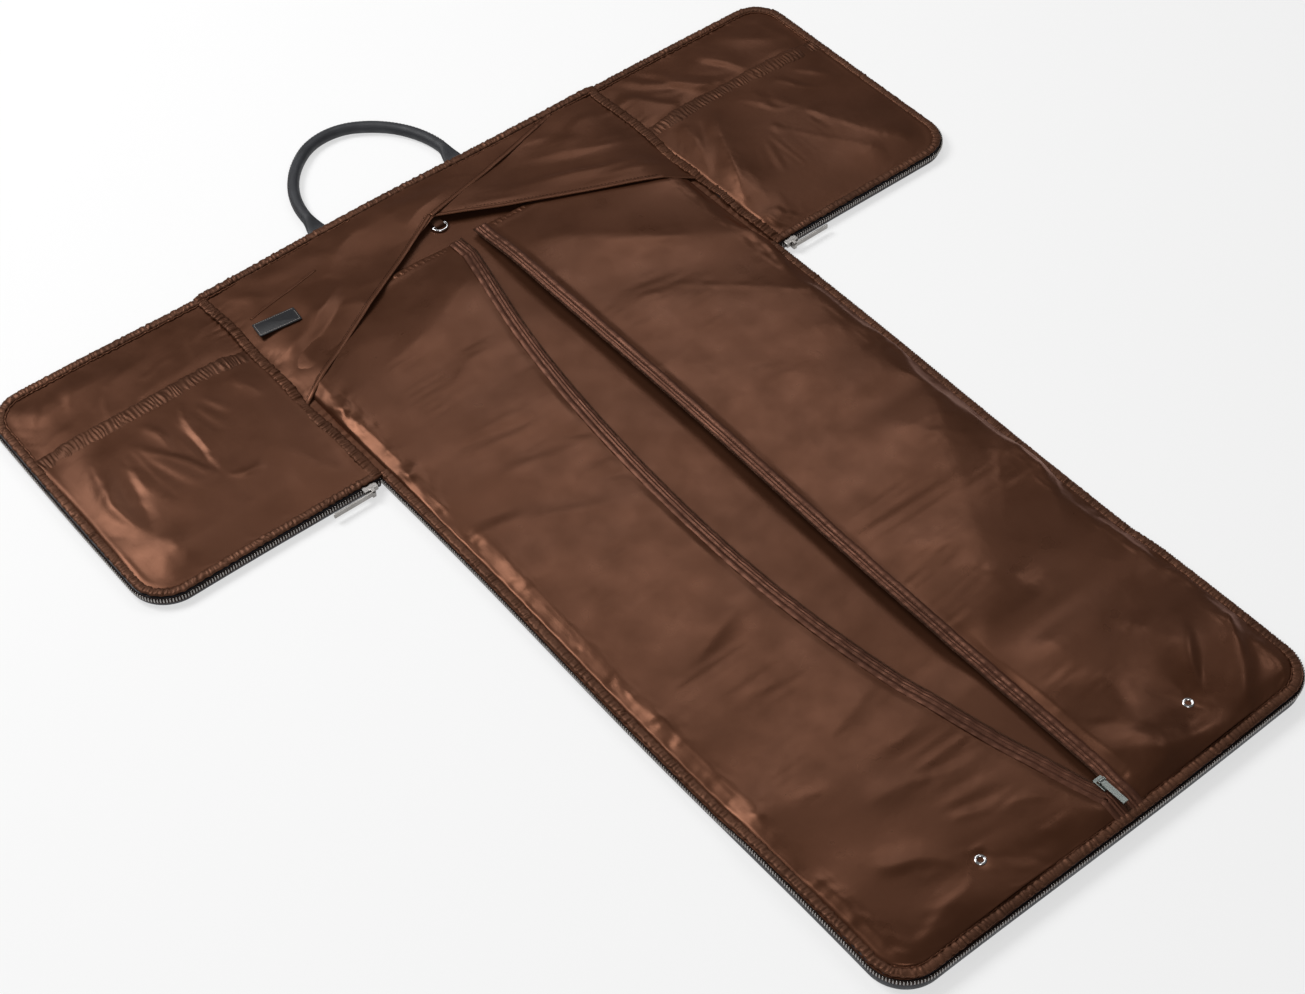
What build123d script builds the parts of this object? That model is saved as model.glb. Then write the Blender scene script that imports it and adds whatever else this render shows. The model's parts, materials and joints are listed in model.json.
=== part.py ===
"""Convertible garment bag, unzipped and laid open on its outer face.

The back panel carries the carry handle. An end panel folds up on each side of it, and the long panel
folds up in three sections (base, front, top), so that the whole closes into a holdall.
The long panel carries the garment compartment, which a lengthwise zip closes.

X runs across the bag, +Y points from the long panel to the carry handle, and Z = 0 is the surface
that the bag lies on. Lengths are in millimetres. Distances "down the bag" are counted from the back
panel's top edge towards the end of the long panel.
"""

import os

from build123d import *

# Plan sizes
PANEL_W = 540.0  # back panel and long panel, side to side
BACK_L = 349.0  # back panel, top edge to the first fold
END_D = 270.0  # end panel, fold to its outer teeth
END_OVERHANG_TOP, END_OVERHANG_LOW = 1.0, 2.0  # end panel's teeth beyond the back panel's two edges
BASE_L = 250.0  # long panel: base section
FRONT_L = 310.0  # long panel: front section
TOP_L = 218.0  # long panel: top section
CORNER_R = 45.0  # rounded outer corners of the end panels and of the long panel's end
FOLD_GAP = 0.4  # half of the gap between two sections at a fold

# Layers, as heights above the floor
SHELL_UNDER, SHELL_TOP = 8.0, 10.5
PAD_TOP = 12.0
LINING_TOP = 13.0
TOP_SHELL_UNDER, TOP_SHELL_TOP = 15.0, 17.5  # the top section lies over the front handle
TOP_LINING_TOP = 18.5
SKIRT_T = 3.0  # shell edge that turns down to the floor
BINDING_H = 1.4
CLOTH_T = 1.5  # compartment covers
COVER_UNDER = {
    "neck": {"left": 18.0, "right": 18.5},
    "base": {"left": 20.0, "right": 24.0},
    "front": {"left": 20.0, "right": 24.0},
    "top": {"left": 24.0, "right": 24.0},
}

# Main zip, whose teeth run round the bag's outline
ZIP_W, ZIP_UNDER, ZIP_TOP = 8.0, 8.5, 11.0

# Garment compartment
WALL_X = 258.0  # outside of the covers' side walls
WALL_T = 2.0
NECK_START = 120.0  # covers' top edges, down the bag
COVER_END = 1112.0  # end wall of the compartment, down the bag
SEAM_X = 17.0  # closed garment zip
CHAIN_W = 6.0  # each half of the garment zip
RIGHT_EDGE_X = 19.5  # free edge of the right half
LEFT_EDGE = ((14.5, 1088.0), (-58.0, 620.0), (2.0, 148.0))  # free edge of the left half: x, down
CLOSED_FROM = 1090.0  # the garment zip is closed beyond this, down the bag

# Shoulder flaps: an inverted V whose point is over the hanger ring
APEX = (-5.0, 72.0)
SEAM_TOP_X = 207.0  # where the seam between the two flaps meets the top edge
FLAP_SIDE_DOWN = 210.0  # where the free edges meet the sides
FLAP_T = 1.2
FLAP_Z_TOP_EDGE, FLAP_Z_LOW_EDGE = 16.0, 26.0

# End pocket
POCKET_MOUTH = 105.0  # down the bag
POCKET_UNDER, POCKET_T = 19.0, 1.2
ELASTIC_W, ELASTIC_T = 10.0, 1.2

# Handles
HANDLE_X = -12.0
HANDLE_HALF = 94.0
GRIP_R = 7.0
ARCH_RISE, ARCH_TOP_R = 112.0, 70.0  # three-centred arch, above the tapered ends
LEG_TAPER = 20.0  # flat end to round grip
LEG_END = (13.0, 2.5)  # half width and half thickness of the flat end
HANDLE_HINGE_OUT = 4.0  # hinge line beyond the panel edge
HANDLE_HINGE_Z = 2.5
TAB_L, TAB_W, TAB_UNDER = 70.0, 30.0, 5.0
FRONT_TAB_END = 905.0  # down the bag

# Small hardware
EYELET_MID_X, EYELET_HALF, EYELET_DOWN = 10.0, 133.0, 1069.0
EYELET_BORE_R, EYELET_BARREL_R, EYELET_FLANGE_R, EYELET_FLANGE_T = 3.0, 4.5, 6.5, 0.8
LABEL_SIZE, LABEL_AT, LABEL_TILT = (50.0, 22.0, 1.6), (-229.0, 99.0), -7.0
RING_R, RING_WIRE_R, RING_AT, RING_Z = 9.0, 1.25, (-3.0, 82.0), 15.2
LOOP_INNER, LOOP_OUTER, LOOP_L, LOOP_W = 1.45, 2.15, 26.0, 12.0  # webbing loop that holds the ring
GARMENT_SLIDER_DOWN = 1080.0
MAIN_SLIDER_X, MAIN_PULL_L = 283.0, 48.0
PIN_R, EYE_BORE_R, EYE_R = 1.0, 1.3, 2.6
EAR_LOW, EAR_HIGH, EAR_T = 6.0, 12.2, 1.6  # a main slider's two ears, which hold the pull's pin

PAST = 5.0  # how far a cutting outline runs past a section's ends, so that it cuts them cleanly
ABOVE = 60.0  # higher than everything on the bag
BEYOND = 400.0  # further out, or down, than anything that a cutting outline has to cover

LONG_L = BASE_L + FRONT_L + TOP_L
HALF_W = PANEL_W / 2
HANDLE_REACH = HANDLE_HINGE_OUT + LEG_TAPER + ARCH_RISE + GRIP_R
TOP_Y = (BACK_L + LONG_L - HANDLE_REACH) / 2  # top edge, with the origin in the middle of the length

SECTIONS = {
    "base": (BACK_L, BACK_L + BASE_L),
    "front": (BACK_L + BASE_L, BACK_L + BASE_L + FRONT_L),
    "top": (BACK_L + BASE_L + FRONT_L, BACK_L + LONG_L),
}

os.makedirs("parts", exist_ok=True)


def at(down):
    """Y of a place that lies this far down the bag from the top edge."""
    return TOP_Y - down


def save(shape, name):
    export_step(shape, f"parts/{name}.step")


def block(x0, x1, down0, down1, z0, z1):
    """A box between two x, two distances down the bag and two heights."""
    size = (abs(x1 - x0), abs(down1 - down0), z1 - z0)
    centre = ((x0 + x1) / 2, (at(down0) + at(down1)) / 2, (z0 + z1) / 2)
    return Pos(*centre) * Box(*size)


def prism(points, z0, z1):
    """A vertical prism on a polygon of (x, down) points."""
    outline = make_face(Polyline([(x, at(down)) for x, down in points], close=True))
    return Pos(0, 0, z0) * extrude(outline, z1 - z0)


def rounded(x0, x1, down0, down1, radius, corner_picks):
    """A rectangle with the picked corners rounded; corner_picks takes its vertices and returns some."""
    centre = ((x0 + x1) / 2, (at(down0) + at(down1)) / 2)
    plain = Pos(*centre) * Rectangle(abs(x1 - x0), abs(down1 - down0))
    return fillet(corner_picks(plain.vertices()), radius)


def lowest(corners):
    """The two corners furthest down the bag."""
    return corners.sort_by(Axis.Y)[:2]


def slab(face, z0, z1):
    return Pos(0, 0, z0) * extrude(face, z1 - z0)


# ---------------------------------------------------------------- end panels


def end_outline(side, inset, inner_reach=0.0):
    """Plan of an end panel, inset from its teeth; inner_reach carries it past the fold."""
    fold = HALF_W + FOLD_GAP - inner_reach
    outer = HALF_W + END_D - inset
    start, end = inset - END_OVERHANG_TOP, BACK_L + END_OVERHANG_LOW - inset
    if side < 0:
        return rounded(-outer, -fold, start, end, CORNER_R - inset, lambda corners: corners.sort_by(Axis.X)[:2])
    return rounded(fold, outer, start, end, CORNER_R - inset, lambda corners: corners.sort_by(Axis.X)[-2:])


def end_panel(side, name):
    """Shell, foam, lining, binding, pocket, elastic and zip half of one end panel."""
    shell = slab(end_outline(side, ZIP_W), 0, SHELL_TOP)
    shell -= slab(end_outline(side, ZIP_W + SKIRT_T, PAST), -1, SHELL_UNDER)
    save(shell, f"{name}_shell")
    save(slab(end_outline(side, ZIP_W + 4), SHELL_TOP, PAD_TOP), f"{name}_padding")
    save(slab(end_outline(side, ZIP_W + 2), PAD_TOP, LINING_TOP), f"{name}_lining")

    binding = slab(end_outline(side, ZIP_W + 1), LINING_TOP, LINING_TOP + BINDING_H)
    binding -= slab(end_outline(side, ZIP_W + 8, PAST), 0, ABOVE)
    save(binding, f"{name}_binding")

    teeth = slab(end_outline(side, 0), ZIP_UNDER, ZIP_TOP)
    teeth -= slab(end_outline(side, ZIP_W, PAST), 0, ABOVE)
    save(teeth, f"{name}_zip")

    below_mouth = block(side * HALF_W / 2, side * 2 * BEYOND, POCKET_MOUTH, BEYOND, 0, ABOVE)
    pocket = slab(end_outline(side, ZIP_W + 9), LINING_TOP, POCKET_UNDER + POCKET_T)
    hollow = slab(end_outline(side, ZIP_W + 9 + WALL_T), 0, POCKET_UNDER)
    fold_x = HALF_W + FOLD_GAP
    fold_wall = block(side * fold_x, side * (fold_x + WALL_T), POCKET_MOUTH, BEYOND, 0, ABOVE)
    pocket = (pocket - (hollow - fold_wall)) & below_mouth
    save(pocket, f"{name}_pocket")
    elastic_x = (side * (HALF_W + 4), side * (HALF_W + END_D - ZIP_W - 12))
    elastic_down = (POCKET_MOUTH, POCKET_MOUTH + ELASTIC_W)
    elastic_z = POCKET_UNDER + POCKET_T
    save(block(*elastic_x, *elastic_down, elastic_z, elastic_z + ELASTIC_T), f"{name}_elastic")


def main_slider(side, name):
    """Slider of the main zip on an end panel's lower edge, and its bar pull on an upright pin."""
    x = side * MAIN_SLIDER_X
    edge = BACK_L + END_OVERHANG_LOW  # teeth line, down the bag
    pin_down = edge + 6.5
    channel = block(x - 8, x + 8, edge - 5, edge + 3.5, ZIP_UNDER - 1.6, ZIP_TOP + 1.6)
    channel -= block(x - 9, x + 9, edge - 6, edge + 0.4, ZIP_UNDER - 0.4, ZIP_TOP + 0.4)
    web = block(x - 2, x + 2, edge + 2, edge + 3.5, EAR_LOW - EAR_T, EAR_HIGH + EAR_T)
    ears = block(x - 2, x + 2, edge + 3.5, pin_down + 1.6, EAR_LOW - EAR_T, EAR_LOW)
    ears += block(x - 2, x + 2, edge + 3.5, pin_down + 1.6, EAR_HIGH, EAR_HIGH + EAR_T)
    pin_z = (EAR_LOW + EAR_HIGH) / 2
    pin = Pos(x, at(pin_down), pin_z) * Cylinder(PIN_R, EAR_HIGH - EAR_LOW + 2 * EAR_T)
    save(channel + ears + web + pin, f"{name}_slider")

    eye_h = EAR_HIGH - EAR_LOW - 0.6
    eye = Pos(x, at(pin_down), pin_z) * (Cylinder(EYE_R, eye_h) - Cylinder(EYE_BORE_R, 2 * eye_h))
    bar_x = (x + side * 2.2, x + side * MAIN_PULL_L)
    bar = block(*bar_x, pin_down - 1, pin_down + 1, pin_z - eye_h / 2, pin_z + eye_h / 2)
    save(eye + bar, f"{name}_pull")


# ---------------------------------------------------------------- back panel


def back_panel():
    """Shell, foam, lining and top binding of the back panel."""
    half = HALF_W - FOLD_GAP
    low = BACK_L - FOLD_GAP
    shell = block(-half, half, 0.5, low, SHELL_UNDER, SHELL_TOP)
    shell += block(-half, -140, 0.5, 0.5 + SKIRT_T, 0, SHELL_UNDER + 1)
    shell += block(120, half, 0.5, 0.5 + SKIRT_T, 0, SHELL_UNDER + 1)
    save(shell, "back_shell")
    save(block(-half + 2, half - 2, 4, low - 2, SHELL_TOP, PAD_TOP), "back_padding")
    save(block(-half, half, 1, low, PAD_TOP, LINING_TOP), "back_lining")
    save(block(-half, half, 0, 9, LINING_TOP, LINING_TOP + BINDING_H), "back_binding")


def below_slope(drop):
    """The space under the shoulder flaps' sloping top face, lowered by drop."""
    slope = (FLAP_Z_LOW_EDGE - FLAP_Z_TOP_EDGE) / FLAP_SIDE_DOWN
    far = FLAP_SIDE_DOWN + ABOVE
    start_z, far_z = FLAP_Z_TOP_EDGE - drop, FLAP_Z_TOP_EDGE + slope * far - drop
    profile = [(0, LINING_TOP), (0, start_z), (far, far_z), (far, LINING_TOP)]
    face = make_face(Plane.YZ * Polyline([(at(down), z) for down, z in profile], close=True))
    return extrude(face, 400, both=True)


def shoulder_flaps():
    """Left and right flaps that cover the hanger's shoulders: sewn at the top and sides, free along the V."""
    left = [(-260, 10), (SEAM_TOP_X, 10), APEX, (-260, FLAP_SIDE_DOWN)]
    right = [(SEAM_TOP_X + 1, 10), (260, 10), (260, FLAP_SIDE_DOWN), (APEX[0] + 1, APEX[1])]
    inside = block(-WALL_X, WALL_X, 12, FLAP_SIDE_DOWN + ABOVE, 0, ABOVE) & below_slope(FLAP_T)
    for name, outline in (("left", left), ("right", right)):
        flap = prism(outline, LINING_TOP, ABOVE) & below_slope(0)
        save(flap - inside, f"shoulder_flap_{name}")


def hanger_ring():
    """D-ring for the hanger's hook and the webbing loop that holds it."""
    x, down = RING_AT
    centre = Pos(x, at(down), RING_Z)
    bow = Torus(RING_R, RING_WIRE_R) & Pos(0, -RING_R, 0) * Box(40, 2 * RING_R, 10)
    bar = Rot(0, 90, 0) * Cylinder(RING_WIRE_R, 2 * RING_R)
    ends = Pos(-RING_R, 0, 0) * Sphere(RING_WIRE_R) + Pos(RING_R, 0, 0) * Sphere(RING_WIRE_R)
    save(centre * (bow + bar + ends), "hanger_ring")

    across = Rot(0, 90, 0)
    outside = Box(LOOP_W, LOOP_L, 2 * LOOP_OUTER)
    outside += Pos(0, -LOOP_L / 2, 0) * across * Cylinder(LOOP_OUTER, LOOP_W)
    inside = Box(2 * LOOP_W, LOOP_L - 6, 2 * LOOP_INNER)
    inside += Pos(0, -LOOP_L / 2, 0) * across * Cylinder(LOOP_INNER, 2 * LOOP_W)
    inside += Pos(0, -LOOP_L / 4, 0) * Box(2 * LOOP_W, LOOP_L / 2, 2 * LOOP_INNER)
    save(Pos(x, at(down) + LOOP_L / 2, RING_Z) * (outside - inside), "ring_tab")


def label_patch():
    """Plain leather patch sewn on the left shoulder flap."""
    w, l, t = LABEL_SIZE
    slope = (FLAP_Z_LOW_EDGE - FLAP_Z_TOP_EDGE) / FLAP_SIDE_DOWN
    z = FLAP_Z_TOP_EDGE + slope * LABEL_AT[1] + 0.1
    pitch = -Vector(1, 0).get_angle(Vector(1, slope))
    patch = Rot(pitch, 0, 0) * Rot(0, 0, LABEL_TILT) * Box(w, l, t)
    save(Pos(LABEL_AT[0], at(LABEL_AT[1]), z + t / 2) * patch, "label_patch")


# ---------------------------------------------------------------- long panel


def stem_outline(name, inset, reach=0.0):
    """Plan of a section of the long panel, inset from its sides; the top section's end is rounded."""
    start, end = SECTIONS[name]
    start += FOLD_GAP - reach
    half = HALF_W - inset
    if name != "top":
        end += reach - FOLD_GAP
        return Pos(0, (at(start) + at(end)) / 2) * Rectangle(2 * half, end - start)
    return rounded(-half, half, start, end - inset, CORNER_R - inset, lowest)


def long_section(name, filler):
    """Shell, filler, lining, binding and side zip of one section of the long panel."""
    raised = name == "top"
    under, top = (TOP_SHELL_UNDER, TOP_SHELL_TOP) if raised else (SHELL_UNDER, SHELL_TOP)
    lining_under, lining_top = (TOP_SHELL_TOP, TOP_LINING_TOP) if raised else (PAD_TOP, LINING_TOP)
    shell = slab(stem_outline(name, 4), 0, top)
    shell -= slab(stem_outline(name, 4 + SKIRT_T, PAST), -1, under)
    save(shell, f"{name}_shell")
    if filler:
        save(slab(stem_outline(name, 6), SHELL_TOP, PAD_TOP), f"{name}_{filler}")
    save(slab(stem_outline(name, 3), lining_under, lining_top), f"{name}_lining")
    binding = slab(stem_outline(name, 1), lining_top, lining_top + BINDING_H)
    binding -= slab(stem_outline(name, 9, PAST), 0, ABOVE)
    save(binding, f"{name}_binding")
    side_zip = slab(stem_outline(name, 0), 2, 8)
    side_zip -= slab(stem_outline(name, 4, PAST), 0, ABOVE)
    save(side_zip, f"{name}_side_zip")


def left_region():
    """Plan of the left cover's half: everything to the left of its free edge."""
    (x0, d0), (x1, d1), (x2, d2) = LEFT_EDGE
    arc = ThreePointArc((x0, at(d0)), (x1, at(d1)), (x2, at(d2)))
    rest = Polyline(
        (x2, at(d2)),
        (x2, at(NECK_START - ABOVE)),
        (-BEYOND, at(NECK_START - ABOVE)),
        (-BEYOND, at(COVER_END + ABOVE)),
        (SEAM_X - FOLD_GAP, at(COVER_END + ABOVE)),
        (SEAM_X - FOLD_GAP, at(CLOSED_FROM)),
        (x0, at(d0)),
    )
    return make_face(Curve() + arc + rest)


def right_region():
    """Plan of the right cover's half: everything to the right of its free edge."""
    points = [
        (SEAM_X + FOLD_GAP, COVER_END + ABOVE),
        (SEAM_X + FOLD_GAP, CLOSED_FROM),
        (RIGHT_EDGE_X, CLOSED_FROM - 4),
        (RIGHT_EDGE_X, NECK_START - ABOVE),
        (BEYOND, NECK_START - ABOVE),
        (BEYOND, COVER_END + ABOVE),
    ]
    return make_face(Polyline([(x, at(down)) for x, down in points], close=True))


def cover_box(name, z0, z1, inset):
    """The compartment's outline within a section, inset from its walls."""
    half = WALL_X - inset
    if name == "neck":
        return block(-half, half, NECK_START - inset, BACK_L - FOLD_GAP + inset, z0, z1)
    start, end = SECTIONS[name]
    if name != "top":
        return block(-half, half, start + FOLD_GAP - inset, end - FOLD_GAP + inset, z0, z1)
    outline = rounded(-half, half, start + FOLD_GAP - inset, COVER_END - inset, CORNER_R - inset, lowest)
    return slab(outline, z0, z1)


def covers(name):
    """Left and right cover of a section with their side walls, and the two halves of the garment zip."""
    floor = TOP_LINING_TOP if name == "top" else LINING_TOP
    halves = []
    for side, region in (("left", left_region()), ("right", right_region())):
        under = COVER_UNDER[name][side]
        shape = cover_box(name, floor, under + CLOTH_T, 0) - cover_box(name, 0, under, WALL_T)
        column = slab(region, 0, ABOVE)
        shape &= column
        side_step = CHAIN_W if side == "right" else -CHAIN_W
        cloth_column = Pos(side_step, 0, 0) * column
        chain = (shape - cloth_column) & cover_box(name, under, ABOVE, WALL_T)
        cloth = shape - chain
        if name == "top":
            hole_x = EYELET_MID_X + (EYELET_HALF if side == "right" else -EYELET_HALF)
            cloth -= Pos(hole_x, at(EYELET_DOWN), under) * Cylinder(EYELET_BARREL_R, 20)
        save(cloth, f"cover_{side}_{name}")
        halves.append(chain)
    save(Compound(children=[s for h in halves for s in h.solids()]), f"garment_zip_{name}")


def eyelets():
    """Two grommets through the covers, near the end of the long panel."""
    under = COVER_UNDER["top"]["left"]
    middle = under + CLOTH_T / 2
    barrel_h = CLOTH_T + 2 * EYELET_FLANGE_T
    flange_at = (CLOTH_T + EYELET_FLANGE_T) / 2
    flange = Cylinder(EYELET_FLANGE_R, EYELET_FLANGE_T)
    eyelet = Cylinder(EYELET_BARREL_R, barrel_h)
    eyelet += Pos(0, 0, flange_at) * flange + Pos(0, 0, -flange_at) * flange
    eyelet -= Cylinder(EYELET_BORE_R, 2 * barrel_h)
    pair = [Pos(EYELET_MID_X + sign * EYELET_HALF, at(EYELET_DOWN), middle) * eyelet for sign in (-1, 1)]
    save(Compound(children=[s for e in pair for s in e.solids()]), "eyelets")


def garment_slider():
    """Slider of the garment zip, and its pull on a cross pin."""
    under = COVER_UNDER["top"]["left"]
    top = under + CLOTH_T
    down = GARMENT_SLIDER_DOWN
    plate = block(SEAM_X - 5, SEAM_X + 5, down - 6, down + 9, top + 0.3, top + 1.4)
    lower = block(SEAM_X - 5, SEAM_X + 5, down - 6, down + 9, under - 1.4, under - 0.3)
    post = block(SEAM_X - 0.9, SEAM_X + 0.9, down - 6, down - 3, under - 1.4, top + 1.4)
    pin_z = top + 3.4
    ears = block(SEAM_X - 4.2, SEAM_X - 3.0, down - 2, down + 2, top + 1.4, pin_z + 1.4)
    ears += block(SEAM_X + 3.0, SEAM_X + 4.2, down - 2, down + 2, top + 1.4, pin_z + 1.4)
    pin = Pos(SEAM_X, at(down), pin_z) * Rot(0, 90, 0) * Cylinder(PIN_R, 8)
    save(plate + lower + post + ears + pin, "garment_slider")

    eye = Pos(SEAM_X, at(down), pin_z) * Rot(0, 90, 0) * (Cylinder(1.9, 5.4) - Cylinder(EYE_BORE_R, 8))
    bar = block(SEAM_X - 2.6, SEAM_X + 2.6, down + 1.6, down + 4, pin_z - 0.8, pin_z + 0.8)
    bar += block(SEAM_X - 3.2, SEAM_X + 3.2, down + 3.5, down + 30, pin_z - 0.8, pin_z + 0.8)
    save(eye + bar, "garment_pull")


# ---------------------------------------------------------------- handles


def carry_handle(hinge_y, turn, name):
    """Rolled handle lying flat beyond its hinge line; each flat end grows into the round grip."""
    rise_to_centre = ARCH_RISE - ARCH_TOP_R
    side_r = (HANDLE_HALF**2 + rise_to_centre**2 - ARCH_TOP_R**2) / (2 * (HANDLE_HALF - ARCH_TOP_R))
    side_centre = Vector(side_r - HANDLE_HALF, LEG_TAPER, GRIP_R)
    top_centre = Vector(0, LEG_TAPER + rise_to_centre, GRIP_R)
    tangent = top_centre + (top_centre - side_centre).normalized() * ARCH_TOP_R
    start = Vector(-HANDLE_HALF, LEG_TAPER, GRIP_R)
    halfway = side_centre + ((start - side_centre) + (tangent - side_centre)).normalized() * side_r
    crown = Vector(0, LEG_TAPER + ARCH_RISE, GRIP_R)

    def mirrored(point):
        return Vector(-point.X, point.Y, point.Z)

    path = ThreePointArc(start, halfway, tangent)
    path += ThreePointArc(tangent, crown, mirrored(tangent))
    path += ThreePointArc(mirrored(tangent), mirrored(halfway), mirrored(start))
    handle = sweep(Plane(origin=start, z_dir=(0, 1, 0)) * Circle(GRIP_R), path=path)
    for x in (-HANDLE_HALF, HANDLE_HALF):
        flat = Plane(origin=(x, 0, HANDLE_HINGE_Z), z_dir=(0, 1, 0), x_dir=(1, 0, 0)) * Ellipse(*LEG_END)
        round_end = Plane(origin=(x, LEG_TAPER, GRIP_R), z_dir=(0, 1, 0), x_dir=(1, 0, 0)) * Circle(GRIP_R)
        handle += loft([flat, round_end])
    save(Pos(HANDLE_X, hinge_y, 0) * Rot(0, 0, turn) * handle, name)


def handle_tabs(down0, down1, name):
    """Two leather tabs sewn flat under a panel, where the handle's ends are held."""
    centres = [HANDLE_X - HANDLE_HALF, HANDLE_X + HANDLE_HALF]
    tabs = [block(x - TAB_W / 2, x + TAB_W / 2, down0, down1, TAB_UNDER, SHELL_UNDER) for x in centres]
    save(Compound(children=[s for t in tabs for s in t.solids()]), name)


for side, name in ((-1, "left_end"), (1, "right_end")):
    end_panel(side, name)
    main_slider(side, name)
back_panel()
shoulder_flaps()
hanger_ring()
label_patch()
for name, filler in (("base", "board"), ("front", "padding"), ("top", None)):
    long_section(name, filler)
for name in ("neck", "base", "front", "top"):
    covers(name)
eyelets()
garment_slider()
carry_handle(TOP_Y + HANDLE_HINGE_OUT, 0, "back_handle")
carry_handle(at(FRONT_TAB_END) - HANDLE_HINGE_OUT, 180, "front_handle")
handle_tabs(-1, TAB_L, "back_handle_tabs")
handle_tabs(FRONT_TAB_END - TAB_L, FRONT_TAB_END, "front_handle_tabs")
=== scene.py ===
"""The opened garment bag's looks: linings, covers, pockets, flaps, leather, zips and hardware."""

import json
import math

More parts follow.
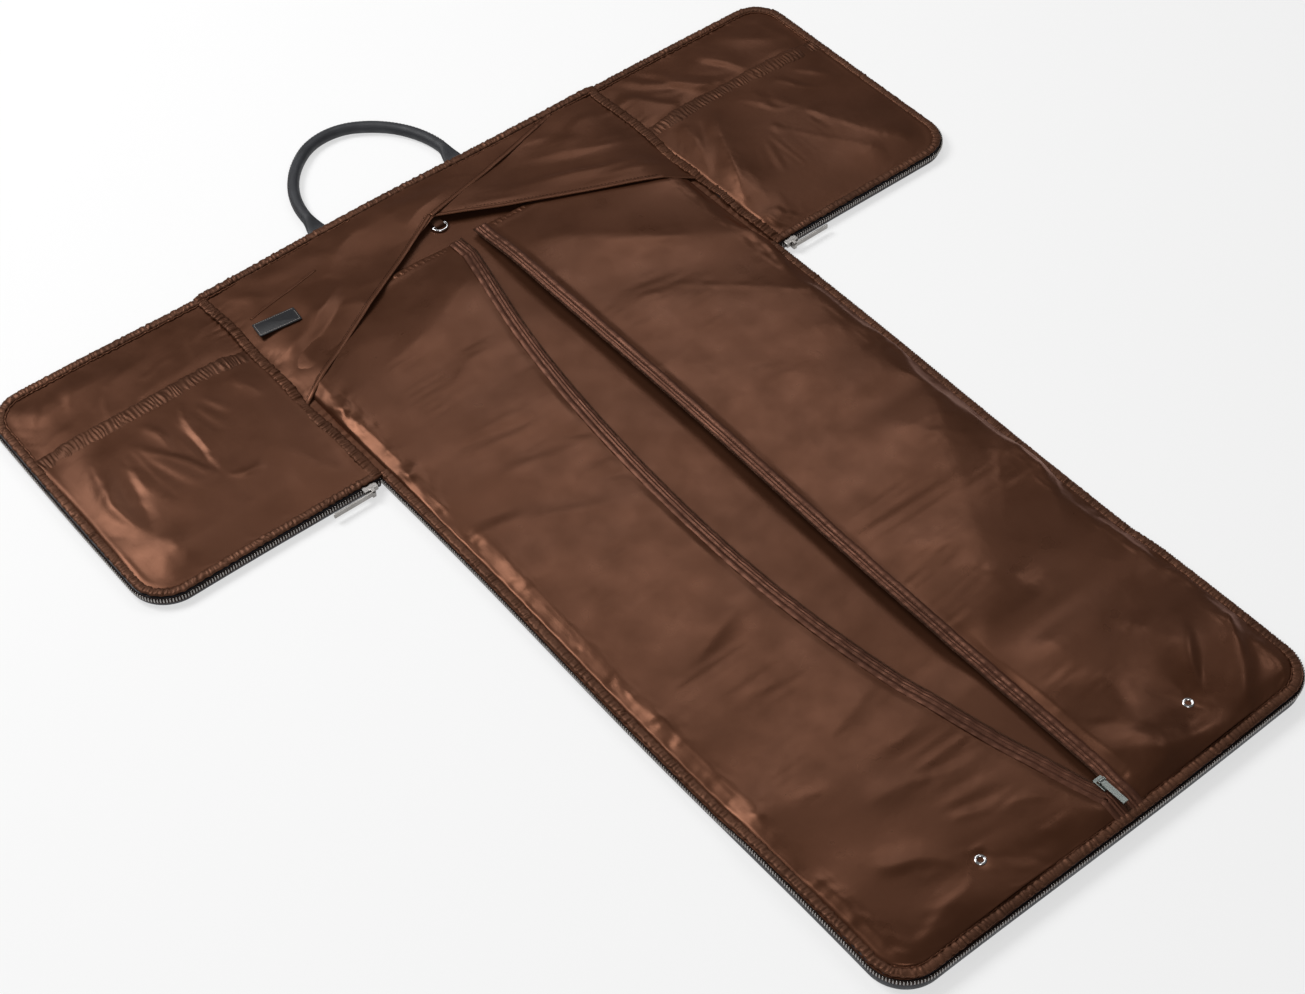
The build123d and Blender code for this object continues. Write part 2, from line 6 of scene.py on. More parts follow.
import bmesh
import bpy
import numpy as np
from mathutils import Matrix, Vector
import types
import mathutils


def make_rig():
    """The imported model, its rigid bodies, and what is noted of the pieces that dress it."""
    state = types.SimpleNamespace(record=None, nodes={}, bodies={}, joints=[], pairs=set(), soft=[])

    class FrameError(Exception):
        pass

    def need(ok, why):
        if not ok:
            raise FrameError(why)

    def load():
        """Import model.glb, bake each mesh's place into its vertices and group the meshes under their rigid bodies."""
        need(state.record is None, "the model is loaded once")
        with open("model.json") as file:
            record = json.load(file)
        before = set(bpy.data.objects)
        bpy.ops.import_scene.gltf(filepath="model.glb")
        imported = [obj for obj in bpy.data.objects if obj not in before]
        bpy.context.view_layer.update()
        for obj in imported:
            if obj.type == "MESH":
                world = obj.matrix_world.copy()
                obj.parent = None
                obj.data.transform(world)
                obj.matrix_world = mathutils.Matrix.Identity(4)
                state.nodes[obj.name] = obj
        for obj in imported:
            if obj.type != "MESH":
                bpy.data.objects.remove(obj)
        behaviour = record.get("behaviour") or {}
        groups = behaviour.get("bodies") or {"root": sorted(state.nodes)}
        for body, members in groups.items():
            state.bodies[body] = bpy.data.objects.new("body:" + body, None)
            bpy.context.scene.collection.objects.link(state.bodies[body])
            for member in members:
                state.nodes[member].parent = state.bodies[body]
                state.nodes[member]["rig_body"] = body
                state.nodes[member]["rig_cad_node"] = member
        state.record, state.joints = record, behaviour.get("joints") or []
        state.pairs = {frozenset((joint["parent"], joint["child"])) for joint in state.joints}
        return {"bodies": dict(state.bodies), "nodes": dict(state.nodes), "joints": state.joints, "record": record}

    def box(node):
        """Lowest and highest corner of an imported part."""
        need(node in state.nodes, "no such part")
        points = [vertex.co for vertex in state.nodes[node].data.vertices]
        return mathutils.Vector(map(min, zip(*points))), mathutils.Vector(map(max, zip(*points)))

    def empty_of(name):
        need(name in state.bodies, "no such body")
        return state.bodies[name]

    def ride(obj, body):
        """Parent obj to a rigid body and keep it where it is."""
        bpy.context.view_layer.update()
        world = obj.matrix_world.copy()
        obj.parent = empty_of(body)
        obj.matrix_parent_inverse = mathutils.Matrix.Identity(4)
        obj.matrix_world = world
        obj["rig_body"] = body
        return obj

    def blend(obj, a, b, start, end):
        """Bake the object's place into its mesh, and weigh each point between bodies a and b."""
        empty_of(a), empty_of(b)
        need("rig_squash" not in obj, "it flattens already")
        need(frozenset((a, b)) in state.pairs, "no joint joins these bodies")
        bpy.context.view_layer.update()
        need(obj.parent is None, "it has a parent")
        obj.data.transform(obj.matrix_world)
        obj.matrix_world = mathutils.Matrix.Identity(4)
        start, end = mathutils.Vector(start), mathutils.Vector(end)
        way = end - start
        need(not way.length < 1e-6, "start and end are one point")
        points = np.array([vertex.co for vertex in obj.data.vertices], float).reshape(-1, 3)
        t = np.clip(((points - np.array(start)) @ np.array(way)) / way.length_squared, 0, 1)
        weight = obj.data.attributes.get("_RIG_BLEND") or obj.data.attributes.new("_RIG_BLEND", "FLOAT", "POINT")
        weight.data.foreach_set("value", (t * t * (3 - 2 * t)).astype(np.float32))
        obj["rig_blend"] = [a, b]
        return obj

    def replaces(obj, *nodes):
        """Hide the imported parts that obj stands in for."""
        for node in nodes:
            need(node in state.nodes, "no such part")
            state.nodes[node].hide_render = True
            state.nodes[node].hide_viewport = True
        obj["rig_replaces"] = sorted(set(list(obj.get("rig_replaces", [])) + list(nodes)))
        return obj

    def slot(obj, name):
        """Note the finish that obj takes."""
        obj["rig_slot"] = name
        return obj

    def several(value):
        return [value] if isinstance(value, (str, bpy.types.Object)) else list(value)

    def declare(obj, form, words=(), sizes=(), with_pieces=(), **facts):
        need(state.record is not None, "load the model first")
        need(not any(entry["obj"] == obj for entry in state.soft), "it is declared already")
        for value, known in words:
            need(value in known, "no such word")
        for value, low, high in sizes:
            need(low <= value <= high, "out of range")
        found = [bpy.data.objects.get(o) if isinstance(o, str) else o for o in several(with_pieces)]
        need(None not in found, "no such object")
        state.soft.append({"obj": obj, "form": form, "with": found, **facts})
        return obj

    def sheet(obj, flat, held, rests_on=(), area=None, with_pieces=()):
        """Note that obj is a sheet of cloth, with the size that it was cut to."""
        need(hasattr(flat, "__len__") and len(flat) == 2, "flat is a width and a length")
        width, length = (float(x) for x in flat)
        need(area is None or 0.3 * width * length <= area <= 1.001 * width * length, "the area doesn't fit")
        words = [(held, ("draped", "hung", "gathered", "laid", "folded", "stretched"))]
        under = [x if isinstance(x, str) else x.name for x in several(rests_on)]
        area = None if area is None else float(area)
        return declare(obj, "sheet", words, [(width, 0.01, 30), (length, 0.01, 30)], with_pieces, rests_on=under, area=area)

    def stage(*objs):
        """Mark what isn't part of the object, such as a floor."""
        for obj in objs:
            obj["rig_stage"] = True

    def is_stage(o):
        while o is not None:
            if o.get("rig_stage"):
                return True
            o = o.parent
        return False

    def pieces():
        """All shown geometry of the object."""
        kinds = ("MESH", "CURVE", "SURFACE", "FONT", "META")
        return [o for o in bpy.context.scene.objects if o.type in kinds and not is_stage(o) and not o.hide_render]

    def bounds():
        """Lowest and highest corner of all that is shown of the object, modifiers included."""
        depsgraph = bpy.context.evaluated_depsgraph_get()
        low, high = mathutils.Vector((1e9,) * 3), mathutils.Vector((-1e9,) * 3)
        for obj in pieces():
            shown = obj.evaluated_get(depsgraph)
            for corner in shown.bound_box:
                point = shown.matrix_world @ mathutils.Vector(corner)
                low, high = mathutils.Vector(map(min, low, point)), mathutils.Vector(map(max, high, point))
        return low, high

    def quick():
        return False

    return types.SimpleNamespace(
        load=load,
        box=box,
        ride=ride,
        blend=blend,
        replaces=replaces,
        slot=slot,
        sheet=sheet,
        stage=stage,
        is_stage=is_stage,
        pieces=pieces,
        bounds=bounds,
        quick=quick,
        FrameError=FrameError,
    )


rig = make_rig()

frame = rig.load()
CAD_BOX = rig.bounds()

MM = 0.001
UP = np.array((0.0, 0.0, 1.0))
SIDES = ((-1, "left"), (1, "right"))

# ---- places, from the frame

JOINT = {j["name"]: Vector(j["pos_m"]) for j in frame["joints"] if "pos_m" in j}
HALF_W = JOINT["right_end_fold"].x
TOP_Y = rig.box("back_binding")[1].y
FOLD_Y = [JOINT[name].y for name in ("base_fold", "front_fold", "top_fold")]
FOLD_Z = JOINT["base_fold"].z
BEND = 16 * MM  # half the length that bends at a fold of the long panel
END_BEND = 5 * MM
(_, END_LOW_Y, _), (END_X, END_TOP_Y, _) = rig.box("right_end_zip")
STEM_END_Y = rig.box("top_side_zip")[0].y
CORNER_R = 45 * MM
LINING_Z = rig.box("back_lining")[1].z
TOP_LINING_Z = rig.box("top_lining")[1].z
SHELL_T = 2.5 * MM
SHELL_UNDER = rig.box("base_board")[0].z - SHELL_T
TOP_SHELL_UNDER = TOP_LINING_Z - 1 * MM - SHELL_T
COVER_TOP_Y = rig.box("cover_right_neck")[1].y
COVER_END_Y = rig.box("cover_right_top")[0].y
COVER_INSET = 12 * MM
ZIP_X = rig.box("garment_slider")[0].x + 5 * MM
MOUTH_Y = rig.box("right_end_pocket")[1].y
EYELET_LOW, EYELET_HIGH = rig.box("eyelets")
EYELET_R = (EYELET_HIGH.y - EYELET_LOW.y) / 2
EYELET_Y = (EYELET_HIGH.y + EYELET_LOW.y) / 2
EYELET_Z = (EYELET_HIGH.z + EYELET_LOW.z) / 2
EYELET_X = {"left": EYELET_LOW.x + EYELET_R, "right": EYELET_HIGH.x - EYELET_R}
LABEL_AT = sum(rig.box("label_patch"), Vector()) / 2
APEX = np.array((-5 * MM, TOP_Y - 72 * MM))  # where the shoulder flaps meet
FLAP_TOP = TOP_Y - 11 * MM
SEAM_TOP = np.array((207 * MM, FLAP_TOP))
HANDLE_TAPER, HANDLE_TOP_R, HANDLE_END_HALF, HANDLE_TONGUE = 20 * MM, 70 * MM, 13 * MM, 30 * MM


def down(distance):
    """Y of a place this many millimetres down the bag from its top edge."""
    return TOP_Y - distance * MM


ZIP_MEETS = down(1088)  # the garment zip is closed below this, and open above it

# ---- shapes in numbers


def smooth(t):
    t = np.clip(t, 0, 1)
    return t * t * (3 - 2 * t)


def bell(t):
    return np.exp(-(t**2))


def waves(x, y, length, seed, count=7, stretch=1.0, turn=0.0):
    """Smooth noise from -1 to 1: sine waves of about this length. A stretch draws it out along turn."""
    draw = np.random.default_rng(seed)
    c, s = math.cos(turn), math.sin(turn)
    along, across = (x * c + y * s) / stretch, -x * s + y * c
    total = 0
    for _ in range(count):
        angle, phase = draw.uniform(0, math.pi), draw.uniform(0, 2 * math.pi)
        k = 2 * math.pi / (length * draw.uniform(0.7, 1.4))
        total = total + np.sin(k * (along * math.cos(angle) + across * math.sin(angle)) + phase)
    return total / math.sqrt(count)


def ripple(along, length, seed, count):
    """The same noise along a line."""
    return waves(along, along * 0, length, seed, count)


def puckers(along, length, seed):
    """Uneven ridges of about this spacing, from 0 to 1, for gathered edges."""
    shift = ripple(along, length * 5, seed, 4) * length * 0.45
    ridge = 0.5 + 0.5 * np.sin(2 * math.pi * (along + shift) / length)
    height = 0.65 + 0.35 * ripple(along, length * 3.1, seed + 1, 4)
    return ridge**1.5 * np.clip(height, 0.15, 1.2)


def edge_puckers(along, distance, seed, height=1.3 * MM, reach=16 * MM):
    return height * bell(distance / reach) * (puckers(along, 9 * MM, seed) - 0.4)


def folds(x, y, creases):
    """Height that soft folds add. Each is x0, down0, x1, down1, height, width, lean, in mm. A lean from
    -0.9 to 0.9 makes one side of the fold steep and the other gentle."""
    total = 0 * x
    for x0, d0, x1, d1, height, width, lean in creases:
        start, run = np.array((x0 * MM, down(d0))), np.array(((x1 - x0) * MM, (d0 - d1) * MM))
        length = np.hypot(*run)
        along = run / length
        t = ((x - start[0]) * along[0] + (y - start[1]) * along[1]) / length
        side = (y - start[1]) * along[0] - (x - start[0]) * along[1]
        side = side + 0.10 * length * (t - t * t) * np.sign(lean) + 1.5 * MM * np.sin(9 * t + x0)
        u = np.abs(side / (width * MM * np.where(side > 0, 1 + lean, 1 - lean)))
        taper = np.clip(1 - (2 * t - 1) ** 2, 0, 1) ** 0.7
        total = total + height * MM * taper * (0.5 * np.exp(-((1.6 * u) ** 1.15)) + 0.5 * bell(0.85 * u))
    return total


def scattered_folds(area, count, angle, seed, length=(40, 90), height=(0.6, 1.8), width=(5, 11)):
    """Folds at random places of an area (x0, x1, down0, down1), in mm, that run at about this angle."""
    draw = np.random.default_rng(seed)
    made = []
    for _ in range(count):
        x, d = draw.uniform(area[0], area[1]), draw.uniform(area[2], area[3])
        a, half = angle + draw.normal(0, 0.35), draw.uniform(*length) / 2
        dx, dd = math.cos(a) * half, -math.sin(a) * half
        sign = 1 if draw.uniform() < 0.7 else -1
        size = sign * draw.uniform(*height), draw.uniform(*width), draw.uniform(-0.7, 0.7)
        made.append((x - dx, d - dd, x + dx, d + dd, *size))
    return made


def held_down(z, y):
    """Cloth heights, kept low where the long panel folds."""
    for fold in FOLD_Y:
        z = z - bell((y - fold) / 0.022) * np.maximum(0, z - FOLD_Z - 2 * MM)
    return z


def past_front(y):
    """From 0 to 1 where the long panel rises over the front handle."""
    return smooth((FOLD_Y[2] + 0.035 - y) / 0.055)


def ground(y):
    """Height of the long panel's lining."""
    return LINING_Z + (TOP_LINING_Z - LINING_Z) * past_front(y)


def sway(points):
    """The bag doesn't lie perfectly straight: a gentle shift of everything soft, in plan."""
    x, y = points[..., 0], points[..., 1]
    shift = np.zeros_like(points)
    shift[..., 0] = 1.3 * MM * waves(y, x * 0.2, 0.42, 11, 4)
    shift[..., 1] = 1.3 * MM * waves(x, y * 0.2, 0.36, 12, 4)
    return points + shift


def spread(start, end, step):
    return np.linspace(start, end, max(2, round(abs(end - start) / step) + 1))


def rounded_span(start, end, radius, step, both=False):
    """Places from start to end, closer together where the outline's corner at end (or both) is round."""
    direction = 1 if end > start else -1
    turn = 1 - np.cos(np.linspace(0, math.pi / 2, 10))
    tail = end - direction * radius * turn[::-1]
    head = start + direction * radius * turn if both else np.array([start])
    return np.concatenate([head, spread(head[-1], tail[0], step)[1:-1], tail])


def corner_cut(distance_to_edge, radius):
    """How far a rounded corner pulls an outline in, at a distance from the edge that meets it."""
    t = np.clip(radius - distance_to_edge, 0, radius)
    return radius - np.sqrt(np.maximum(radius**2 - t**2, 0))


def lengths_along(path):
    return np.concatenate([[0], np.cumsum(np.linalg.norm(np.diff(path, axis=0), axis=1))])


def points_at(path, lengths, places):
    return np.stack([np.interp(places, lengths, path[:, k]) for k in range(3)], 1)


def resample(path, step):
    path = np.asarray(path, float)
    lengths = lengths_along(path)
    at = spread(0, lengths[-1], step)
    return points_at(path, lengths, at), at


def outline(corners, radius, step):
    """An open path through four corners, in plan, whose inner corners are rounded."""
    corners = [np.array(c, float) for c in corners]
    path = [corners[0]]
    for before, corner, after in zip(corners, corners[1:], corners[2:]):
        into = (before - corner) / np.linalg.norm(before - corner)
        out = (after - corner) / np.linalg.norm(after - corner)
        centre = corner + (into + out) * radius
        for angle in np.linspace(0, math.pi / 2, 19):
            path.append(centre - out * radius * math.cos(angle) - into * radius * math.sin(angle))
    path.append(corners[-1])
    return resample(np.array([(*p[:2], 0) for p in path]), step)


def unit(vectors):
    return vectors / np.linalg.norm(vectors, axis=1)[:, None]


def left_of(path):
    """Unit left-hand side of each point of a path, in plan."""
    tangent = np.gradient(path, axis=0)
    tangent[:, 2] = 0
    return np.cross(UP, unit(tangent))


def at_height(path, z):
    lifted = path.copy()
    lifted[:, 2] = z(path) if callable(z) else z
    return lifted


# ---- meshes


def new_object(name, co, faces, uv=None):
    mesh = bpy.data.meshes.new(name)
    mesh.from_pydata([tuple(p) for p in np.asarray(co).reshape(-1, 3).tolist()], [], faces)
    if uv is not None:
        layer = mesh.uv_layers.new(name="flat")
        loops = np.zeros(len(mesh.loops), np.int32)
        mesh.loops.foreach_get("vertex_index", loops)
        layer.data.foreach_set("uv", np.asarray(uv, np.float32).reshape(-1, 2)[loops].ravel())
    mesh.polygons.foreach_set("use_smooth", [True] * len(mesh.polygons))
    obj = bpy.data.objects.new(name, mesh)
    bpy.context.scene.collection.objects.link(obj)
    return obj


def points_of(obj):
    return np.array([v.co for v in obj.data.vertices])


def reshape(obj, change):
    """Applies change, a function of an (n, 3) array, to the mesh's points."""
    obj.data.vertices.foreach_set("co", change(points_of(obj)).astype(np.float32).ravel())
    obj.data.update()


def grid_faces(rows, cols, start=0, flip=False):
    i, j = np.meshgrid(np.arange(rows - 1), np.arange(cols - 1), indexing="ij")
    a = (start + i * cols + j).ravel()
    quads = np.stack([a, a + cols, a + cols + 1, a + 1], 1)
    return (quads[:, ::-1] if flip else quads).tolist()


def facing_up(points):
    """Whether a grid of points with rows along its first index winds so that its faces look up."""
    a, b = points[1, 0] - points[0, 0], points[0, 1] - points[0, 0]
    return a[0] * b[1] - a[1] * b[0] > 0


def sheet_object(name, points, flat=None):
    """A single layer of cloth from a grid of points. flat is each point's place on the cut cloth."""
    flat = points[..., :2] if flat is None else flat
    return new_object(name, points, grid_faces(*points.shape[:2], flip=not facing_up(points)), flat)


def slab_object(name, points, thickness):
    """A closed plate: the grid of points is its top, and its underside is a thickness below."""
    rows, cols = points.shape[:2]
    count, flip = rows * cols, not facing_up(points)
    faces = grid_faces(rows, cols, flip=flip) + grid_faces(rows, cols, count, not flip)
    rim = [(i, 0) for i in range(rows)] + [(rows - 1, j) for j in range(1, cols)]
    rim += [(i, cols - 1) for i in range(rows - 2, -1, -1)] + [(0, j) for j in range(cols - 2, 0, -1)]
    ids = [i * cols + j for i, j in rim]
    for a, b in zip(ids, ids[1:] + ids[:1]):
        faces.append([a, b, b + count, a + count] if flip else [b, a, a + count, b + count])
    co = np.concatenate([points, points - UP * thickness])
    return new_object(name, co, faces, co[..., :2])


def seal(obj):
    """Joins points at the same place, and fills the open ends."""
    bm = bmesh.new()
    bm.from_mesh(obj.data)
    bmesh.ops.remove_doubles(bm, verts=bm.verts, dist=1e-6)
    bmesh.ops.holes_fill(bm, edges=[e for e in bm.edges if e.is_boundary])
    bmesh.ops.recalc_face_normals(bm, faces=bm.faces)
    bm.to_mesh(obj.data)
    bm.free()


def sweep(name, path, at, profile):
    """A strip along a path. profile(at) gives each path point's outline, as (left, up) pairs."""
    outlines = profile(at)
    co = path[:, None, :] + left_of(path)[:, None, :] * outlines[..., :1] + UP * outlines[..., 1:]
    co = np.concatenate([co, co[:, :1]], 1)
    uv = np.stack(np.meshgrid(at, lengths_along(co[0]), indexing="ij"), -1)
    obj = new_object(name, co, grid_faces(*co.shape[:2], flip=True), uv)
    seal(obj)
    return obj


def oval(half_wide, half_high, centre=(0, 0), points=12, power=1.0):
    """A profile for sweep: the same rounded outline all along, in mm. Its centre is (left, up)."""
    angles = np.linspace(0, 2 * math.pi, points, endpoint=False)
    ring = [np.sign(v) * np.abs(v) ** power for v in (np.cos(angles), np.sin(angles))]
    ring = np.stack([ring[0] * half_wide, ring[1] * half_high], 1) * MM + np.array(centre) * MM
    return lambda at: np.repeat(ring[None], len(at), 0)


def gathered(half_wide, half_high, raised, seed, bulge=1.0, length=4.3):
    """A profile in mm for a ruched binding: a flattened tube with uneven puckers that lean across it."""
    spacing = length * MM

    def profile(places):
        out = oval(half_wide, half_high, (0, 0), 20, 0.85)(places)
        lean = 1.6 * MM * ripple(places, 0.03, seed + 5, 5)[:, None] * out[..., 0] / (half_wide * MM)
        along = places[:, None] + lean
        ridge = 0.7 * puckers(along, spacing, seed) + 0.5 * puckers(along - lean * 2, spacing * 1.6, seed + 7)
        patchy = 0.75 + 0.35 * ripple(places, 0.04, seed + 9, 4)[:, None]
        top = np.clip(out[..., 1] / (half_high * MM), 0, 1)
        swollen = top * bulge * 1.5 * MM * ridge * patchy
        out[..., 1] = out[..., 1] * (0.75 + 0.3 * ridge) + swollen + raised * MM
        swell = 0.45 * MM * ripple(places, spacing * 1.7, seed + 3, 5)[:, None]
        out[..., 0] = out[..., 0] * (0.94 + 0.1 * ridge) + swell
        return out

    return profile


def copies(name, path, step, shape, start=0.0, uneven=0.0, seed=0):
    """The same small shape at each step along a path; the shape's X runs along it, and its Y is left."""
    lengths = lengths_along(path)
    places = np.arange(start, lengths[-1] - start, step)
    places = places + np.random.default_rng(seed).uniform(-uneven, uneven, len(places))
    ahead, behind = (points_at(path, lengths, places + d) for d in (0.4 * MM, -0.4 * MM))
    tangent = unit(ahead - behind)
    left = unit(np.cross(UP, tangent))
    axes = (tangent, left, np.cross(tangent, left))
    shape_co, shape_faces = np.asarray(shape[0], float), shape[1]
    co = points_at(path, lengths, places)[:, None]
    for k, axis in enumerate(axes):
        co = co + axis[:, None] * shape_co[None, :, k : k + 1]
    count = len(shape_co)
    faces = [[v + k * count for v in f] for k in range(len(places)) for f in shape_faces]
    return new_object(name, co, faces, np.repeat(places[:, None] * np.array([[1, 0]]), count, 0))


def stack_faces(levels, n):
    """Faces of a solid made of outlines of n points, one above the other."""
    sides = [
        [k * n + i, k * n + (i + 1) % n, (k + 1) * n + (i + 1) % n, (k + 1) * n + i]
        for k in range(levels - 1)
        for i in range(n)
    ]
    return [list(range(n))[::-1], list(range((levels - 1) * n, levels * n))] + sides


def loop_faces(rows, n):
    """Faces of a closed loop of rows, each a closed outline of n points."""
    return [
        [i * n + j, (i + 1) % rows * n + j, (i + 1) % rows * n + (j + 1) % n, i * n + (j + 1) % n]
        for i in range(rows)
        for j in range(n)
    ]


def lozenge(length, width, height):
    """A small rounded bar along X, for a stitch or a zip's coil, in mm."""
    co = []
    for t, swell in ((-1, 0.5), (0, 1.0), (1, 0.5)):
        for a in (2 * math.pi * k / 6 for k in range(6)):
            co.append((t * length / 2, math.cos(a) * width / 2 * swell, math.sin(a) * height / 2 * swell))
    return np.array(co) * MM, [f[::-1] for f in stack_faces(3, 6)]


def tooth():
    """A zip tooth, clamped on the edge of a standing tape. Its Y points off the tape."""
    outer = [(-0.62, 0.35), (-0.40, 0.80), (0.40, 0.80), (0.62, 0.35), (0.5, -0.9), (-0.5, -0.9)]
    levels = [(-1.75, 0.72), (-1.35, 1.0), (0.9, 1.0), (1.6, 0.85), (1.95, 0.5)]
    co = np.array([(x * k, y * k, z) for z, k in levels for x, y in outer]) * 1.25 * MM
    return co, [f[:1] + f[:0:-1] for f in stack_faces(len(levels), len(outer))]


def rounded_ring(width, length, radius):
    """A closed outline in plan: a rectangle with rounded corners, whose last point is its first."""
    points = []
    for cx, cy, start in ((1, 1, 0), (-1, 1, 90), (-1, -1, 180), (1, -1, 270)):
        for a in np.radians(np.linspace(start, start + 90, 7)):
            x, y = cx * (width / 2 - radius), cy * (length / 2 - radius)
            points.append((x + radius * math.cos(a), y + radius * math.sin(a), 0))
    return np.array(points + points[:1])


def plate(name, ring, thick, bevel):
    """A flat part on a closed outline, with softened edges, centred on z 0."""
    ring = ring[:-1]
    size = ring.max(0) - ring.min(0)
    inner = ring * np.array((1 - 2 * bevel / size[0], 1 - 2 * bevel / size[1], 1))
    levels = [(inner, -thick / 2), (ring, -thick / 2 + bevel), (ring, thick / 2 - bevel), (inner, thick / 2)]
    co = np.concatenate([points + UP * z for points, z in levels])
    return new_object(name, co, stack_faces(len(levels), len(ring)), co[:, :2])


# ---- materials


def assign(owner, **values):
    for key, value in values.items():
        setattr(owner, key, value)


def nodes_of(name, colour, roughness, metallic=0.0, specular=0.5):
    material = bpy.data.materials.new(name)
    material.use_nodes = True
    shader = material.node_tree.nodes["Principled BSDF"]
    set_inputs(shader, ("Base Color", (*colour, 1)), ("Roughness", roughness), ("Metallic", metallic))
    set_inputs(shader, ("Specular IOR Level", specular))
    return material, material.node_tree, shader


def set_inputs(node, *pairs):
    for socket, value in pairs:
        node.inputs[socket].default_value = value


def noise(tree, scale, detail=3, kind="ShaderNodeTexNoise", stretch=(1, 1, 1), flat=False, out="Fac"):
    """A texture on the object's own coordinates, or on its flat cloth's."""
    if flat:
        source = tree.nodes.new("ShaderNodeUVMap")
        source.uv_map = "flat"
        place = source.outputs["UV"]
    else:
        place = tree.nodes.new("ShaderNodeTexCoord").outputs["Object"]
    mapping = tree.nodes.new("ShaderNodeMapping")
    mapping.inputs["Scale"].default_value = stretch
    tree.links.new(place, mapping.inputs["Vector"])
    texture = tree.nodes.new(kind)
    texture.inputs["Scale"].default_value = scale
    if "Detail" in texture.inputs:
        texture.inputs["Detail"].default_value = detail
    tree.links.new(mapping.outputs["Vector"], texture.inputs["Vector"])
    return texture.outputs[out]


def ramp(tree, source, low, high, socket, low_at=0.3, high_at=0.7):
    """Drives a shader's socket from one colour to another."""
    node = tree.nodes.new("ShaderNodeValToRGB")
    for element, place, colour in zip(node.color_ramp.elements, (low_at, high_at), (low, high)):
        element.position, element.color = place, (*colour, 1)
    tree.links.new(source, node.inputs["Fac"])
    tree.links.new(node.outputs["Color"], socket)


def scaled(colour, k):
    return tuple(c * k for c in colour)


def add_bump(tree, shader, height, strength, distance_mm):
    bump = tree.nodes.new("ShaderNodeBump")
    set_inputs(bump, ("Strength", strength), ("Distance", distance_mm * MM))
    tree.links.new(height, bump.inputs["Height"])
    if shader.inputs["Normal"].links:
        tree.links.new(shader.inputs["Normal"].links[0].from_socket, bump.inputs["Normal"])
    tree.links.new(bump.outputs["Normal"], shader.inputs["Normal"])


def cloth_material(name, colour, roughness, weave_mm, crinkle, vary=0.10, gloss=0.35):
    """Woven cloth: two crossed sets of threads, soft crinkles, and slight changes of colour and gloss."""
    material, tree, shader = nodes_of(name, colour, roughness, metallic=0.42, specular=gloss)
    set_inputs(shader, ("Specular Tint", (1.0, 0.52, 0.35, 1)), ("Sheen Weight", 0.02))
    set_inputs(shader, ("Sheen Roughness", 0.45), ("Sheen Tint", (*scaled(colour, 4), 1)))
    base, rough = shader.inputs["Base Color"], shader.inputs["Roughness"]
    ramp(tree, noise(tree, 9, 5, flat=True), scaled(colour, 1 - vary), scaled(colour, 1 + vary), base)
    ramp(tree, noise(tree, 26, 3, flat=True), (roughness - 0.06,) * 3, (roughness + 0.08,) * 3, rough)
    weave = tree.nodes.new("ShaderNodeMath")
    weave.operation = "ADD"
    for socket, stretch in zip(weave.inputs, ((1, 0.02, 1), (0.02, 1, 1))):
        tree.links.new(noise(tree, 1 / (weave_mm * MM), 0, stretch=stretch, flat=True), socket)
    add_bump(tree, shader, weave.outputs[0], 0.24, 0.08)
    add_bump(tree, shader, noise(tree, 130, 6, flat=True), 0.5, crinkle)
    return material


def leather_material(name, colour, roughness, grain_mm):
    material, tree, shader = nodes_of(name, colour, roughness, specular=0.45)
    clouds = noise(tree, 45, 5)
    ramp(tree, clouds, scaled(colour, 0.7), scaled(colour, 1.5), shader.inputs["Base Color"], 0.35, 0.75)
    ramp(tree, clouds, (roughness + 0.1,) * 3, (roughness - 0.08,) * 3, shader.inputs["Roughness"])
    cells = noise(tree, 1 / (grain_mm * MM), kind="ShaderNodeTexVoronoi", out="Distance")
    add_bump(tree, shader, cells, 0.55, 0.18)
    add_bump(tree, shader, noise(tree, 320, 4), 0.4, 0.15)
    return material


def metal_material(name, colour, roughness, brushed=(1, 1, 1)):
    material, tree, shader = nodes_of(name, colour, roughness, metallic=1.0)
    scratches = noise(tree, 900, 4, stretch=brushed)
    ramp(tree, scratches, (roughness * 0.75,) * 3, (roughness * 1.4,) * 3, shader.inputs["Roughness"])
    ramp(tree, noise(tree, 60, 3), scaled(colour, 0.85), scaled(colour, 1.08), shader.inputs["Base Color"])
    add_bump(tree, shader, scratches, 0.25, 0.02)
    return material


def foam_material(name, colour):
    material, tree, shader = nodes_of(name, colour, 0.95, specular=0.2)
    pores = noise(tree, 900, kind="ShaderNodeTexVoronoi", out="Distance")
    # painted shade: the pits of the pores are coloured darker, as shade falls in them; the same pattern gives their
    # bumps
    ramp(tree, pores, scaled(colour, 0.6), scaled(colour, 1.1), shader.inputs["Base Color"], 0.0, 0.4)
    add_bump(tree, shader, pores, 0.8, 0.3)
    return material


